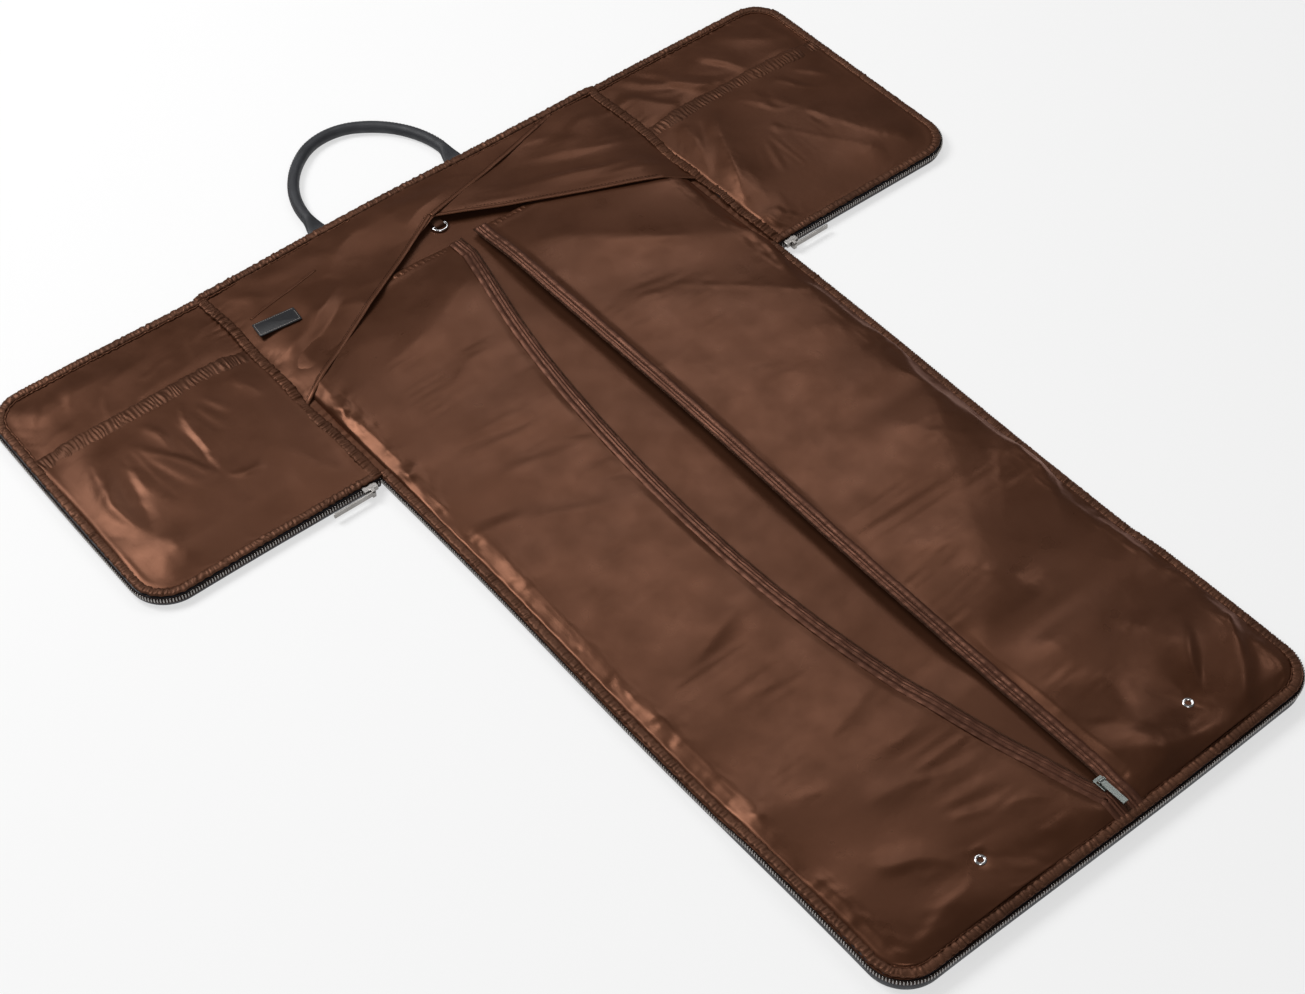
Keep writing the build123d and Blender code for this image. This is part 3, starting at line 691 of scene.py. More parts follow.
def cloths():
    """Name, slot, colour, roughness, weave in mm, depth of crinkles, variation and gloss of each cloth."""
    brown = (0.068, 0.0255, 0.0128)
    return {
        "lining": ("lining_nylon", "lining_nylon", brown, 0.36, 0.9, 0.2, 0.1, 0.5),
        "cover": ("cover_nylon", "lining_nylon", scaled(brown, 1.02), 0.32, 0.9, 0.15, 0.1, 0.5),
        "binding": ("binding_nylon", "binding_nylon", (0.070, 0.030, 0.017), 0.45, 1.2, 0.7, 0.35, 0.5),
        "elastic": ("elastic_nylon", "elastic", (0.052, 0.020, 0.010), 0.45, 1.0, 0.6, 0.25, 0.5),
        "coil_tape": ("garment_zip_tape", "garment_zip_coil", (0.072, 0.029, 0.018), 0.45, 1.1, 0.3, 0.2, 0.5),
        "coil": ("garment_zip_coil", "garment_zip_coil", (0.060, 0.030, 0.019), 0.42, 0.4, 0.05, 0.2),
        "stitch": ("brown_thread", "lining_nylon", (0.060, 0.026, 0.015), 0.6, 0.3, 0.1, 0.2),
        "webbing": ("webbing", "webbing", (0.055, 0.026, 0.016), 0.65, 0.9, 0.3, 0.2),
        "dark_tape": ("main_zip_tape", "main_zip_metal", (0.012, 0.011, 0.011), 0.7, 1.0, 0.3, 0.2),
        "pale_stitch": ("pale_thread", "label_leather", (0.42, 0.39, 0.36), 0.6, 0.3, 0.1, 0.1),
        "dark_stitch": ("dark_thread", "shell_leather", (0.03, 0.03, 0.035), 0.55, 0.3, 0.1, 0.1),
    }


LOOK = {key: (slot, cloth_material(name, *rest)) for key, (name, slot, *rest) in cloths().items()}
LOOK["leather"] = "shell_leather", leather_material("shell_leather", (0.018, 0.019, 0.024), 0.46, 1.3)
LOOK["handle"] = "shell_leather", leather_material("handle_leather", (0.020, 0.021, 0.025), 0.55, 1.1)
LOOK["label"] = "label_leather", leather_material("label_leather", (0.009, 0.009, 0.011), 0.55, 0.9)
LOOK["teeth"] = "main_zip_metal", metal_material("zip_teeth", (0.32, 0.305, 0.29), 0.27)
LOOK["chrome"] = "chrome_hardware", metal_material("polished_metal", (0.80, 0.80, 0.81), 0.14)
LOOK["slider"] = None, metal_material("slider_metal", (0.34, 0.37, 0.35), 0.32, (1, 8, 1))
LOOK["foam"] = None, foam_material("padding_foam", (0.35, 0.35, 0.35))
LOOK["board"] = None, foam_material("base_board", (0.16, 0.15, 0.14))


def dress(obj, key):
    slot, material = LOOK[key]
    obj.data.materials.clear()
    obj.data.materials.append(material)
    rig.slot(obj, slot)
    return obj


# ---- placing pieces on bodies

SECTIONS = (
    ("neck", "root", "base", FOLD_Y[0]),
    ("middle", "base", "front", FOLD_Y[1]),
    ("end", "front", "top", FOLD_Y[2]),
)


def on_end(obj, side, name):
    """A piece of an end panel: it bends where it crosses the panel's fold."""
    start, end = ((side * (HALF_W + d), 0, 0) for d in (-END_BEND / 2, END_BEND))
    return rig.blend(obj, "root", f"{name}_end", start=start, end=end)


def put(obj, body, *stands_for):
    """Rides a piece on one body, in place of CAD nodes."""
    if stands_for:
        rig.replaces(obj, *stands_for)
    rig.ride(obj, body)
    return obj


def take_faces(obj, name, chosen):
    """A new object with these faces of obj, shaded as they were in the whole."""
    mesh = obj.data
    normals = np.zeros(len(mesh.vertices) * 3, np.float32)
    mesh.vertex_normals.foreach_get("vector", normals)
    normals = normals.reshape(-1, 3)
    polygons = [mesh.polygons[i] for i in np.flatnonzero(chosen)]
    used = sorted({v for p in polygons for v in p.vertices})
    index = {v: k for k, v in enumerate(used)}
    faces = [[index[v] for v in p.vertices] for p in polygons]
    part = new_object(name, [mesh.vertices[v].co for v in used], faces)
    old, new = mesh.uv_layers[0].data, part.data.uv_layers.new(name="flat").data
    for k, loop in enumerate(loop for p in polygons for loop in p.loop_indices):
        new[k].uv = old[loop].uv
    part.data.normals_split_custom_set_from_vertices([tuple(normals[v]) for v in used])
    part.data.materials.append(mesh.materials[0])
    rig.slot(part, obj["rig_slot"])
    return part


def cut_long(obj, replaced=None):
    """Cuts a piece that runs down the long panel into three, each of which bends at one fold.

    replaced maps a part's name, neck, middle or end, to the CAD nodes that it stands for."""
    centres = np.array([p.center.y for p in obj.data.polygons])
    mid_base, mid_front = (FOLD_Y[0] + FOLD_Y[1]) / 2, (FOLD_Y[1] + FOLD_Y[2]) / 2
    neck, end = centres > mid_base, centres <= mid_front
    parts = {}
    for (part, a, b, y), mask in zip(SECTIONS, (neck, ~neck & ~end, end)):
        if mask.any():
            piece = take_faces(obj, f"{obj.name}_{part}", mask)
            parts[part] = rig.blend(piece, a, b, start=(0, y + BEND, 0), end=(0, y - BEND, 0))
            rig.replaces(parts[part], *(replaced or {}).get(part, ()))
    bpy.data.objects.remove(obj)
    return parts


def declare_sheet(obj, held, rests_on, with_pieces=()):
    """Declares a sheet whose cut size and area come from its flat coordinates."""
    layer = obj.data.uv_layers["flat"].data
    uv = np.zeros(len(layer) * 2, np.float32)
    layer.foreach_get("uv", uv)
    uv = uv.reshape(-1, 2)
    area = 0.0
    for p in obj.data.polygons:
        x, y = uv[list(p.loop_indices)].T
        area += abs(np.dot(x, np.roll(y, -1)) - np.dot(y, np.roll(x, -1))) / 2
    width, length = (float(v) for v in uv.max(0) - uv.min(0))
    area = min(float(area), width * length)
    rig.sheet(obj, flat=(width, length), held=held, rests_on=rests_on, area=area, with_pieces=with_pieces)


# ---- cloth


def settle(obj, height_map, pins, loose, grow, frames=18):
    """Lets light cloth crinkle and sink onto a hidden former, held at its pinned edges.

    height_map gives the former's height, pins the held vertices, and loose each vertex's share of grow,
    the slack that gathers the cloth. The mesh takes the settled shape, and the former is removed."""
    co = points_of(obj)
    lo, hi = co.min(0) - 0.01, co.max(0) + 0.01
    x, y = np.meshgrid(spread(lo[0], hi[0], 6 * MM), spread(lo[1], hi[1], 6 * MM), indexing="ij")
    former = sheet_object("former", np.stack([x, y, height_map(x, y)], -1))
    former.modifiers.new("collide", "COLLISION")
    assign(former.collision, thickness_outer=0.5 * MM, cloth_friction=2)
    for name, weights in (("pin", pins), ("loose", loose)):
        group = obj.vertex_groups.new(name=name)
        for i in np.flatnonzero(weights):
            group.add([int(i)], float(weights[i]), "REPLACE")
    modifier = obj.modifiers.new("cloth", "CLOTH")
    assign(modifier.settings, quality=6, mass=0.01, air_damping=3, pin_stiffness=5)
    assign(modifier.settings, tension_stiffness=30, compression_stiffness=30, shear_stiffness=8)
    assign(modifier.settings, bending_stiffness=0.02, bending_damping=0.1)
    assign(modifier.settings, tension_damping=3, compression_damping=3, shear_damping=3)
    assign(modifier.settings, vertex_group_mass="pin", vertex_group_shrink="loose")
    assign(modifier.settings, shrink_min=0.0, shrink_max=-grow)
    modifier.settings.effector_weights.gravity = 0.15
    assign(modifier.collision_settings, distance_min=0.5 * MM, use_self_collision=False)
    assign(modifier.point_cache, frame_start=1, frame_end=frames)
    for f in range(1, frames + 1):
        bpy.context.scene.frame_set(f)
    done = points_of(obj.evaluated_get(bpy.context.evaluated_depsgraph_get()))
    obj.modifiers.clear()
    obj.vertex_groups.clear()
    reshape(obj, lambda _: done)
    former_mesh = former.data
    bpy.data.objects.remove(former)
    bpy.data.meshes.remove(former_mesh)
    bpy.context.scene.frame_set(1)


def subdivide(obj):
    """Bakes smooth subdivision into the mesh, keeping its flat coordinates."""
    modifier = obj.modifiers.new("finer", "SUBSURF")
    assign(modifier, levels=1, render_levels=1, boundary_smooth="PRESERVE_CORNERS")
    shown = obj.evaluated_get(bpy.context.evaluated_depsgraph_get())
    finer, old = bpy.data.meshes.new_from_object(shown), obj.data
    obj.modifiers.clear()
    obj.data = finer
    bpy.data.meshes.remove(old)
    finer.polygons.foreach_set("use_smooth", [True] * len(finer.polygons))


# ---- linings and pockets


def long_grid(inset_side, inset_end, top, step_x, step_y):
    """Plan grid of the long panel, with its rounded end, and the back panel above it."""
    half, end, radius = HALF_W - inset_side, STEM_END_Y + inset_end, CORNER_R - inset_end
    ys = rounded_span(top, end, radius, step_y)
    edge = half - corner_cut(ys - end, radius)
    xs = np.concatenate([[-1, -0.985], spread(-0.97, 0.97, step_x / half), [0.985, 1]])
    x, y = np.meshgrid(xs, ys, indexing="ij")
    return x * edge[None, :], y


def end_grid(side, inset, inner, step):
    """Plan grid of an end panel, with two rounded outer corners."""
    low, top, radius = END_LOW_Y + inset, END_TOP_Y - inset, CORNER_R - inset
    ys = rounded_span(low, top, radius, step, both=True)
    reach = END_X - inset - corner_cut(np.minimum(ys - low, top - ys), radius)
    t = spread(0, 1, step / (END_X - HALF_W))
    x = side * (HALF_W + inner + (reach[None, :] - HALF_W - inner) * t[:, None])
    return x, np.repeat(ys[None, :], len(t), 0)


def long_lining():
    x, y = long_grid(3 * MM, 4 * MM, TOP_Y - 4 * MM, 6 * MM, 3 * MM)
    z = ground(y) + 0.7 * MM * waves(x, y, 0.09, 21, stretch=1.6, turn=1.2) + 0.3 * MM
    z += edge_puckers(y, HALF_W - np.abs(x), 22)
    obj = dress(sheet_object("lining", sway(np.stack([x, y, z], -1))), "lining")
    nodes = {"neck": ("back_lining",), "middle": ("base_lining", "front_lining"), "end": ("top_lining",)}
    for part in cut_long(obj, nodes).values():
        declare_sheet(part, "laid", ["back_padding", "base_board", "front_padding"])


# folds are x0, down0, x1, down1, height, width, lean, in mm
END_FOLDS = {
    "left": [
        (-290, 30, -420, 62, 1.4, 14, 0.4), (-300, 80, -400, 96, 1.0, 10, -0.4),
        (-505, 60, -420, 40, 1.2, 12, 0.5), (-520, 95, -450, 80, 0.9, 8, -0.3),
    ],
    "right": [
        (300, 12, 382, 96, 3.6, 11, 0.5), (328, 18, 352, 84, -2.4, 9, -0.5),
        (402, 40, 440, 108, 2.6, 9, 0.6), (285, 40, 330, 100, 2.6, 10, -0.5),
        (430, 20, 520, 90, 1.8, 18, 0.3), (310, 60, 420, 105, 1.6, 10, 0.5),
    ],
}
POCKET_FOLDS = {
    "left": [
        (-372, 132, -388, 232, 3.2, 7, 0.6), (-440, 160, -390, 252, 3.4, 9, -0.6),
        (-392, 250, -352, 268, 2.4, 7, 0.4), (-486, 136, -503, 300, 3.8, 12, 0.6),
        (-455, 140, -494, 290, -2.6, 12, -0.4), (-350, 134, -330, 200, 2.0, 9, 0.4),
        (-415, 134, -410, 190, 2.4, 7, -0.5), (-310, 134, -300, 175, 1.8, 8, 0.5),
        (-505, 190, -470, 322, 2.0, 12, 0.5), (-340, 230, -300, 322, 1.6, 16, -0.3),
    ],
    "right": [
        (352, 138, 262, 322, 8.5, 22, 0.55), (310, 132, 268, 250, 5.5, 16, -0.4),
        (404, 134, 498, 332, 3.0, 14, 0.6), (362, 172, 462, 330, 2.6, 14, -0.6),
        (385, 134, 420, 196, 2.4, 7, 0.5), (436, 134, 478, 190, 2.2, 7, -0.5),
        (334, 138, 322, 176, 2.0, 6, 0.4), (470, 134, 508, 172, 1.8, 7, 0.5),
        (276, 290, 292, 345, 3.6, 7, 0.4), (286, 300, 318, 345, 2.6, 7, -0.4),
    ],
}


def end_lining(side, name):
    x, y = end_grid(side, 9 * MM, -1 * MM, 3.5 * MM)
    fold = np.abs(x) - HALF_W
    edge = np.minimum(np.minimum(END_X - np.abs(x), END_TOP_Y - y), y - END_LOW_Y) - 9 * MM
    area = (side * 400 - 110, side * 400 + 110, 20, 100)
    creases = END_FOLDS[name] + scattered_folds(area, 16, -0.6 * side, 200 + side, height=(0.3, 0.9))
    swell = (3.0 if side > 0 else 2.0) * MM * (1 + 0.6 * waves(x, y, 0.15, 30 + side, stretch=1.5, turn=0.4))
    body = swell * smooth(edge / 0.05) * smooth(fold / 0.03) + folds(x, y, creases)
    z = LINING_Z + 0.4 * MM + smooth((y - MOUTH_Y + 0.01) / 0.02) * smooth(edge / 0.02) * body
    z += edge_puckers(y, fold, 31 + side, 1.8 * MM) + edge_puckers(x + y, edge, 35 + side)
    z = np.clip(z, LINING_Z + 0.3 * MM, LINING_Z + 12 * MM)
    obj = dress(sheet_object(f"{name}_end_lining_cloth", sway(np.stack([x, y, z], -1))), "lining")
    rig.replaces(obj, f"{name}_end_lining")
    declare_sheet(on_end(obj, side, name), "laid", [f"{name}_end_padding"])


def pocket_shape(side, name):
    """Grid of the pocket's cloth and the height of the stuffed shape that it settles on."""
    inset, step, inner = 12 * MM, 4 * MM, HALF_W + 1.5 * MM
    low, radius, outer = END_LOW_Y + inset, CORNER_R - inset, END_X - inset
    ys = rounded_span(MOUTH_Y, low, radius, step)
    reach = outer - corner_cut(ys - low, radius)
    t = spread(0, 1, step / (outer - inner))
    x = side * (inner + (reach[None, :] - inner) * t[:, None])
    area = (side * 400 - 110, side * 400 + 110, 130, 320)
    creases = POCKET_FOLDS[name] + scattered_folds(area, 14, 1.2, 210 + side, height=(0.3, 1.0))

    def height(px, py):
        sides = np.maximum(np.minimum(np.abs(px) - inner, outer - np.abs(px)), 0)
        rim = np.maximum(np.minimum(sides, py - low), 0)
        puff = 1.4 * MM + 5.2 * MM * smooth(rim / 0.045) * smooth(sides / 0.03)
        soft = 1.3 * MM * waves(px, py, 0.11, 40 + side, 6, 1.6, 1.1) * smooth(rim / 0.03)
        raised = LINING_Z + puff + soft + folds(px, py, creases) * smooth(rim / 0.012)
        return np.clip(raised, LINING_Z + 1.2 * MM, LINING_Z + 19 * MM)

    return x, np.repeat(ys[None, :], len(t), 0), height


def held_at_rim(shape):
    pins = np.zeros(shape, bool)
    pins[[0, -1], :], pins[:, [0, -1]] = True, True
    return pins


def end_pocket(side, name):
    """The pocket: a gathered sheet held by its elastic mouth and sewn at its other edges."""
    x, y, height = pocket_shape(side, name)
    cloth = np.stack([x, y, height(x, y)], -1)
    obj = sheet_object(f"{name}_end_pocket_cloth", cloth, np.stack([x * 1.06, y * 1.03], -1))
    dress(obj, "lining")
    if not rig.quick():
        slack = 0.3 + 0.7 * bell((MOUTH_Y - y) / 0.06)
        pins = held_at_rim(x.shape).ravel()
        settle(obj, lambda px, py: height(px, py) - 1.0 * MM, pins, slack.ravel(), 0.05)
    subdivide(obj)
    low, high = LINING_Z + 1 * MM, LINING_Z + 21 * MM
    reshape(obj, lambda co: sway(np.stack([co[:, 0], co[:, 1], np.clip(co[:, 2], low, high)], 1)))
    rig.replaces(obj, f"{name}_end_pocket")
    on_end(obj, side, name)

    band_y = MOUTH_Y - 10 * MM
    line = [(side * (HALF_W + 2.5 * MM), band_y, 0), (side * (END_X - 13 * MM), band_y, 0)]
    path, at = resample(line, 0.9 * MM)
    path[:, 1] += 1.6 * MM * ripple(at, 0.11, 48 + side, 4)
    path[:, 2] = height(path[:, 0], path[:, 1] - 3 * MM) + 0.3 * MM

    def band(places):
        out = oval(11, 0.9, (0, 0), 26, 0.8)(places)
        across = out[..., 0]
        lines = places[:, None] + 0.9 * MM * waves(places[:, None], across, 0.016, 46 + side, 5)
        crossed = 0.6 * puckers(lines + 0.3 * across, 6.3 * MM, 45 + side)
        shirred = puckers(lines, 4.6 * MM, 44 + side) + crossed
        above = np.clip(out[..., 1] / (0.9 * MM) + 0.2, 0, 1) * (1 - (across / (12.5 * MM)) ** 2)
        out[..., 1] += 1.25 * MM * shirred * above
        out[..., 0] += 0.8 * MM * ripple(places, 0.008, 47 + side, 5)[:, None] * np.sign(across)
        return out

    elastic = dress(sweep(f"{name}_end_elastic_band", sway(path), at, band), "elastic")
    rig.replaces(elastic, f"{name}_end_elastic")
    on_end(elastic, side, name)
    declare_sheet(obj, "gathered", [f"{name}_end_lining"], [elastic])


# ---- garment compartment


def cover_rise(y):
    """How far the covers stand above the lining, down the bag."""
    neck = 3.5 * MM + 6.5 * MM * smooth((COVER_TOP_Y - y) / 0.08)
    return neck - 4.0 * MM * smooth((FOLD_Y[2] + 0.03 - y) / 0.06)


def edge_rise(side, y):
    """The right cover stands higher than the left one, until they meet at the zip's end."""
    if side > 0:
        return cover_rise(y)
    lower = 0.38 * cover_rise(y) * smooth((down(190) - y) / 0.12)
    return cover_rise(y) - lower + 1.5 * MM * smooth((down(980) - y) / 0.05)


def arc_centre(points):
    """Centre and radius of the circle through three points in plan."""
    (ax, ay), (bx, by), (cx, cy) = points
    system = np.array([[bx - ax, by - ay], [cx - ax, cy - ay]]) * 2
    given = [bx * bx - ax * ax + by * by - ay * ay, cx * cx - ax * ax + cy * cy - ay * ay]
    centre = np.linalg.solve(system, given)
    return centre, math.hypot(ax - centre[0], ay - centre[1])


LEFT_EDGE = ((14.5 * MM, ZIP_MEETS), (-58 * MM, down(620)), (2 * MM, down(148)))
EDGE_CENTRE, EDGE_R = arc_centre(LEFT_EDGE)


def left_edge_x(y):
    """The left cover's free edge, which curves away from the garment zip's line and back."""
    across = EDGE_CENTRE[0] - np.sqrt(np.maximum(EDGE_R**2 - (y - EDGE_CENTRE[1]) ** 2, 0))
    return np.where(y > LEFT_EDGE[2][1], LEFT_EDGE[2][0], across)


COVER_FOLDS = {
    "right": [
        (70, 262, 258, 432, -2.8, 17, 0.3), (120, 318, 262, 452, 2.2, 9, 0.6),
        (30, 150, 200, 300, 2.0, 15, -0.4), (60, 180, 262, 330, 1.6, 12, 0.5),
        (262, 520, 120, 440, 1.4, 14, 0.3), (262, 705, 160, 812, 3.0, 16, 0.6),
        (262, 745, 205, 850, 2.2, 12, -0.6), (262, 900, 150, 985, 2.0, 14, 0.5),
        (205, 1000, 140, 1085, 5.0, 15, -0.6), (263, 1000, 180, 1107, 6.0, 19, -0.6),
        (40, 1010, 100, 1075, -2.4, 10, 0.5), (60, 1085, 135, 1075, 2.2, 12, 0.3),
        (30, 1040, 85, 1100, 1.8, 8, 0.4),
    ],
    "left": [
        (-20, 1065, -118, 1020, 3.2, 14, 0.5), (-5, 1090, -105, 1075, 2.8, 10, -0.5),
        (-30, 1000, -160, 960, 2.6, 15, 0.5), (-135, 1080, -225, 1098, 2.4, 9, 0.4),
        (-128, 1062, -205, 1010, 2.4, 12, -0.5), (-245, 900, -150, 860, 2.2, 14, 0.4),
        (-80, 560, -240, 470, 2.6, 18, 0.4), (-70, 700, -245, 760, 2.6, 18, -0.5),
        (-40, 260, -200, 330, 2.4, 16, 0.4), (-30, 180, -180, 240, 2.0, 12, -0.3),
        (-70, 420, -190, 380, 1.8, 12, 0.5), (-60, 860, -180, 900, 2.0, 14, -0.3),
    ],
}
# where the right cover is highest, as (down, x) in mm
RIDGE = (
    (120, 150), (500, 215), (641, 226), (757, 158), (825, 119),
    (894, 92), (983, 92), (1035, 108), (1062, 86), (1112, 78),
)


def cover_outline(side, ys):
    """Free edge and sewn edge of a cover, as distances from the middle, at each place down the bag."""
    sewn = HALF_W - 12.5 * MM - corner_cut(ys - COVER_END_Y, CORNER_R - COVER_INSET)
    if side > 0:
        return np.where(ys < ZIP_MEETS, ZIP_X + 0.6 * MM, ZIP_X + 3.5 * MM), sewn
    return -np.where(ys < ZIP_MEETS, ZIP_X - 0.6 * MM, left_edge_x(ys)), sewn


def cover_height(side, name):
    """The stuffed shape that a cover settles on: steep at its sewn edges, and full of soft folds."""
    area = (side * 140 - 105, side * 140 + 105, 160, 1100)
    creases = COVER_FOLDS[name] + scattered_folds(area, 46, -0.75, 220 + side, (40, 110), (0.4, 1.2), (6, 13))
    seam, across = (side * 252 - 8, side * 252 + 8, 150, 1090), math.pi if side > 0 else 0
    creases += scattered_folds(seam, 60, across, 230 + side, (22, 46), (0.5, 1.5), (3, 6))
    if side > 0:
        creases += scattered_folds((24, 36, 130, 1080), 60, -0.8, 240 + side, (18, 38), (0.3, 0.9), (2.5, 5))

    def crown(px, py, free_x, sewn_x):
        """The right cover's fullness, highest at its ridge."""
        crest = np.interp((TOP_Y - py) / MM, *np.array(RIDGE).T) * MM
        inner = (px - free_x) / np.maximum(crest - free_x, 0.02)
        t = np.where(px < crest, inner, (sewn_x - px) / np.maximum(sewn_x - crest, 0.02))
        full = (2.0 + 8.0 * smooth((down(430) - py) / 0.25)) * MM
        return full * (0.5 * smooth(t) + 0.5 * np.clip(t, 0, 1))

    def height(px, py):
        free_x, sewn_x = cover_outline(side, py)
        rim = np.maximum(np.minimum(sewn_x - side * px, py - COVER_END_Y), 0)
        wall = np.clip(15 + 8 * ripple(py, 0.15, 64 + side, 5), 6, 30) * MM
        body = edge_rise(side, py) * smooth(rim / wall)
        if side > 0:
            body += crown(px, py, free_x, sewn_x) * smooth(rim / 0.02)
        soft = 1.4 * MM * waves(px, py, 0.13, 60 + side, 7, 1.8, -0.8)
        rough = (soft + folds(px, py, creases)) * smooth(rim / 0.010) * smooth((side * px - free_x) / 0.012)
        clear = np.hypot(px - EYELET_X[name], py - EYELET_Y) - 9 * MM
        free = smooth(clear / 0.065)
        body = body * free + (EYELET_Z - 0.3 * MM - ground(py)) * (1 - free) + rough * smooth(clear / 0.02)
        z = ground(py) + 1.4 * MM + np.maximum(body - 1.4 * MM * smooth(rim / 0.01), 0)
        return held_down(z, py)

    return height


def cover(side, name):
    step = 5 * MM
    ys = rounded_span(COVER_TOP_Y, COVER_END_Y, CORNER_R - COVER_INSET, step)
    free, sewn = cover_outline(side, ys)
    t = np.concatenate([spread(0, 0.88, step / HALF_W), spread(0.89, 1, 3.2 * MM / HALF_W)])
    x = side * (free[None, :] + (sewn - free)[None, :] * t[:, None])
    y = np.repeat(ys[None, :], len(t), 0)
    height = cover_height(side, name)
    cloth = np.stack([x, y, height(x, y)], -1)
    obj = sheet_object(f"cover_cloth_{name}", cloth, np.stack([x * 1.03, y * 1.02], -1))
    dress(obj, "cover")
    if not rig.quick():
        pins = held_at_rim(x.shape) | (np.hypot(x - EYELET_X[name], y - EYELET_Y) < 7 * MM)
        rim = np.minimum(sewn[None, :] - side * x, y - COVER_END_Y)
        slack = 0.25 + 0.75 * bell(rim / 0.03) + 0.4 * bell((side * x - free[None, :]) / 0.03)
        slack = np.clip(slack, 0, 1).ravel()
        settle(obj, lambda px, py: height(px, py) - 1.0 * MM, pins.ravel(), slack, 0.045)
    subdivide(obj)

    def finish(co):
        x, y = co[:, 0], co[:, 1]
        z = held_down(np.clip(co[:, 2], ground(y) + 1.1 * MM, ground(y) + 23 * MM), y)
        beside_tape = smooth(1.8 - (side * x - cover_outline(side, y)[0]) / (14 * MM))
        z = z + beside_tape * (zip_z(side, y) - 0.5 * MM - z)
        under_flap = smooth((y - flap_edge_y(x) + 6 * MM) / (12 * MM))
        z = z - under_flap * np.maximum(0, z - flap_z(x, y) + 1.6 * MM)
        return sway(np.stack([x, y, z], 1))

    reshape(obj, finish)
    nodes = {"neck": ("neck",), "middle": ("base", "front"), "end": ("top",)}
    nodes = {part: [f"cover_{name}_{node}" for node in several] for part, several in nodes.items()}
    for part, piece in cut_long(obj, nodes).items():
        declare_sheet(piece, "laid", [f"lining_{part}"])


def flap_edge_y(x):
    """Y of the shoulder flaps' free edges, which meet over the hanger ring."""
    return APEX[1] - np.abs(x - APEX[0]) * (138 * MM / (HALF_W + 5 * MM))


def flap_z(x, y):
    """Height of the shoulder flaps: they rise from the top edge towards their free edges."""
    near_apex = bell(np.hypot(x - APEX[0], y - APEX[1]) / 0.06)
    off_seam = smooth((HALF_W + 4 * MM - np.abs(x)) / 0.05)
    return LINING_Z + 1.2 * MM + off_seam * (1.4 * MM + 0.043 * (TOP_Y - y)) + 4 * MM * near_apex


FLAP_FOLDS = [
    (-262, 150, -140, 90, 3.0, 14, 0.5), (-262, 178, -150, 118, -2.4, 10, -0.4),
    (-262, 120, -180, 112, 1.8, 8, 0.4), (-60, 20, -150, 70, 1.6, 16, 0.4),
    (40, 40, -40, 66, 1.5, 12, -0.4), (140, 60, 250, 110, 2.4, 14, 0.5),
    (90, 92, 240, 150, 2.0, 10, -0.5), (255, 40, 180, 60, 1.8, 10, 0.4),
    (258, 165, 190, 150, 1.8, 7, 0.4), (20, 80, 110, 108, 1.4, 8, 0.4),
] + scattered_folds((-250, 250, 20, 190), 26, -0.45, 250, (30, 80), (0.3, 0.8), (4, 9))


def quad_patch(corners, step):
    """Plan grid between four corners: start and end of the first edge, then of the opposite one."""
    a, b, c, d = (np.array(p, float) for p in corners)
    u = spread(0, 1, step / np.linalg.norm(b - a))[:, None, None]
    v = spread(0, 1, step / max(np.linalg.norm(c - a), np.linalg.norm(d - b)))[None, :, None]
    return (a * (1 - u) + b * u) * (1 - v) + (c * (1 - u) + d * u) * v


def flap_surface(plan, seed):
    """Heights of a shoulder flap at places in plan. It is flat under the label."""
    x, y = plan[..., 0], plan[..., 1]
    side_edge, top_edge = HALF_W - 6 * MM - np.abs(x), FLAP_TOP - y
    inside = smooth(np.minimum(side_edge, top_edge) / 0.03)
    z = flap_z(x, y) + 1.5 * MM * waves(x, y, 0.13, seed, 6, 1.7, -0.5) * inside
    z += 0.25 * MM * waves(x, y, 0.035, seed + 1, 6, 2.2, -0.6) + folds(x, y, FLAP_FOLDS) * inside
    z += edge_puckers(y, side_edge, seed + 2, 1.5 * MM, 12 * MM)
    z += edge_puckers(x, top_edge, seed + 3, 0.8 * MM, 10 * MM)
    off_label = smooth((np.hypot(x - LABEL_AT[0], y - LABEL_AT[1]) - 0.022) / 0.025)
    return flap_z(x, y) + (z - flap_z(x, y)) * off_label


def on_flap(plan, seed):
    return sway(np.concatenate([plan, flap_surface(plan, seed)[..., None]], -1))


def stitch_line(name, points, gap=4.2, length=2.8, key="stitch", lift=0.25, thick=0.55):
    """Stitches along a line, sized in mm."""
    path = resample(points, 2 * MM)[0] + UP * lift * MM
    shape = lozenge(length, thick, thick)
    return dress(copies(name, path, gap * MM, shape, start=gap * MM / 2, uneven=0.15 * MM, seed=5), key)


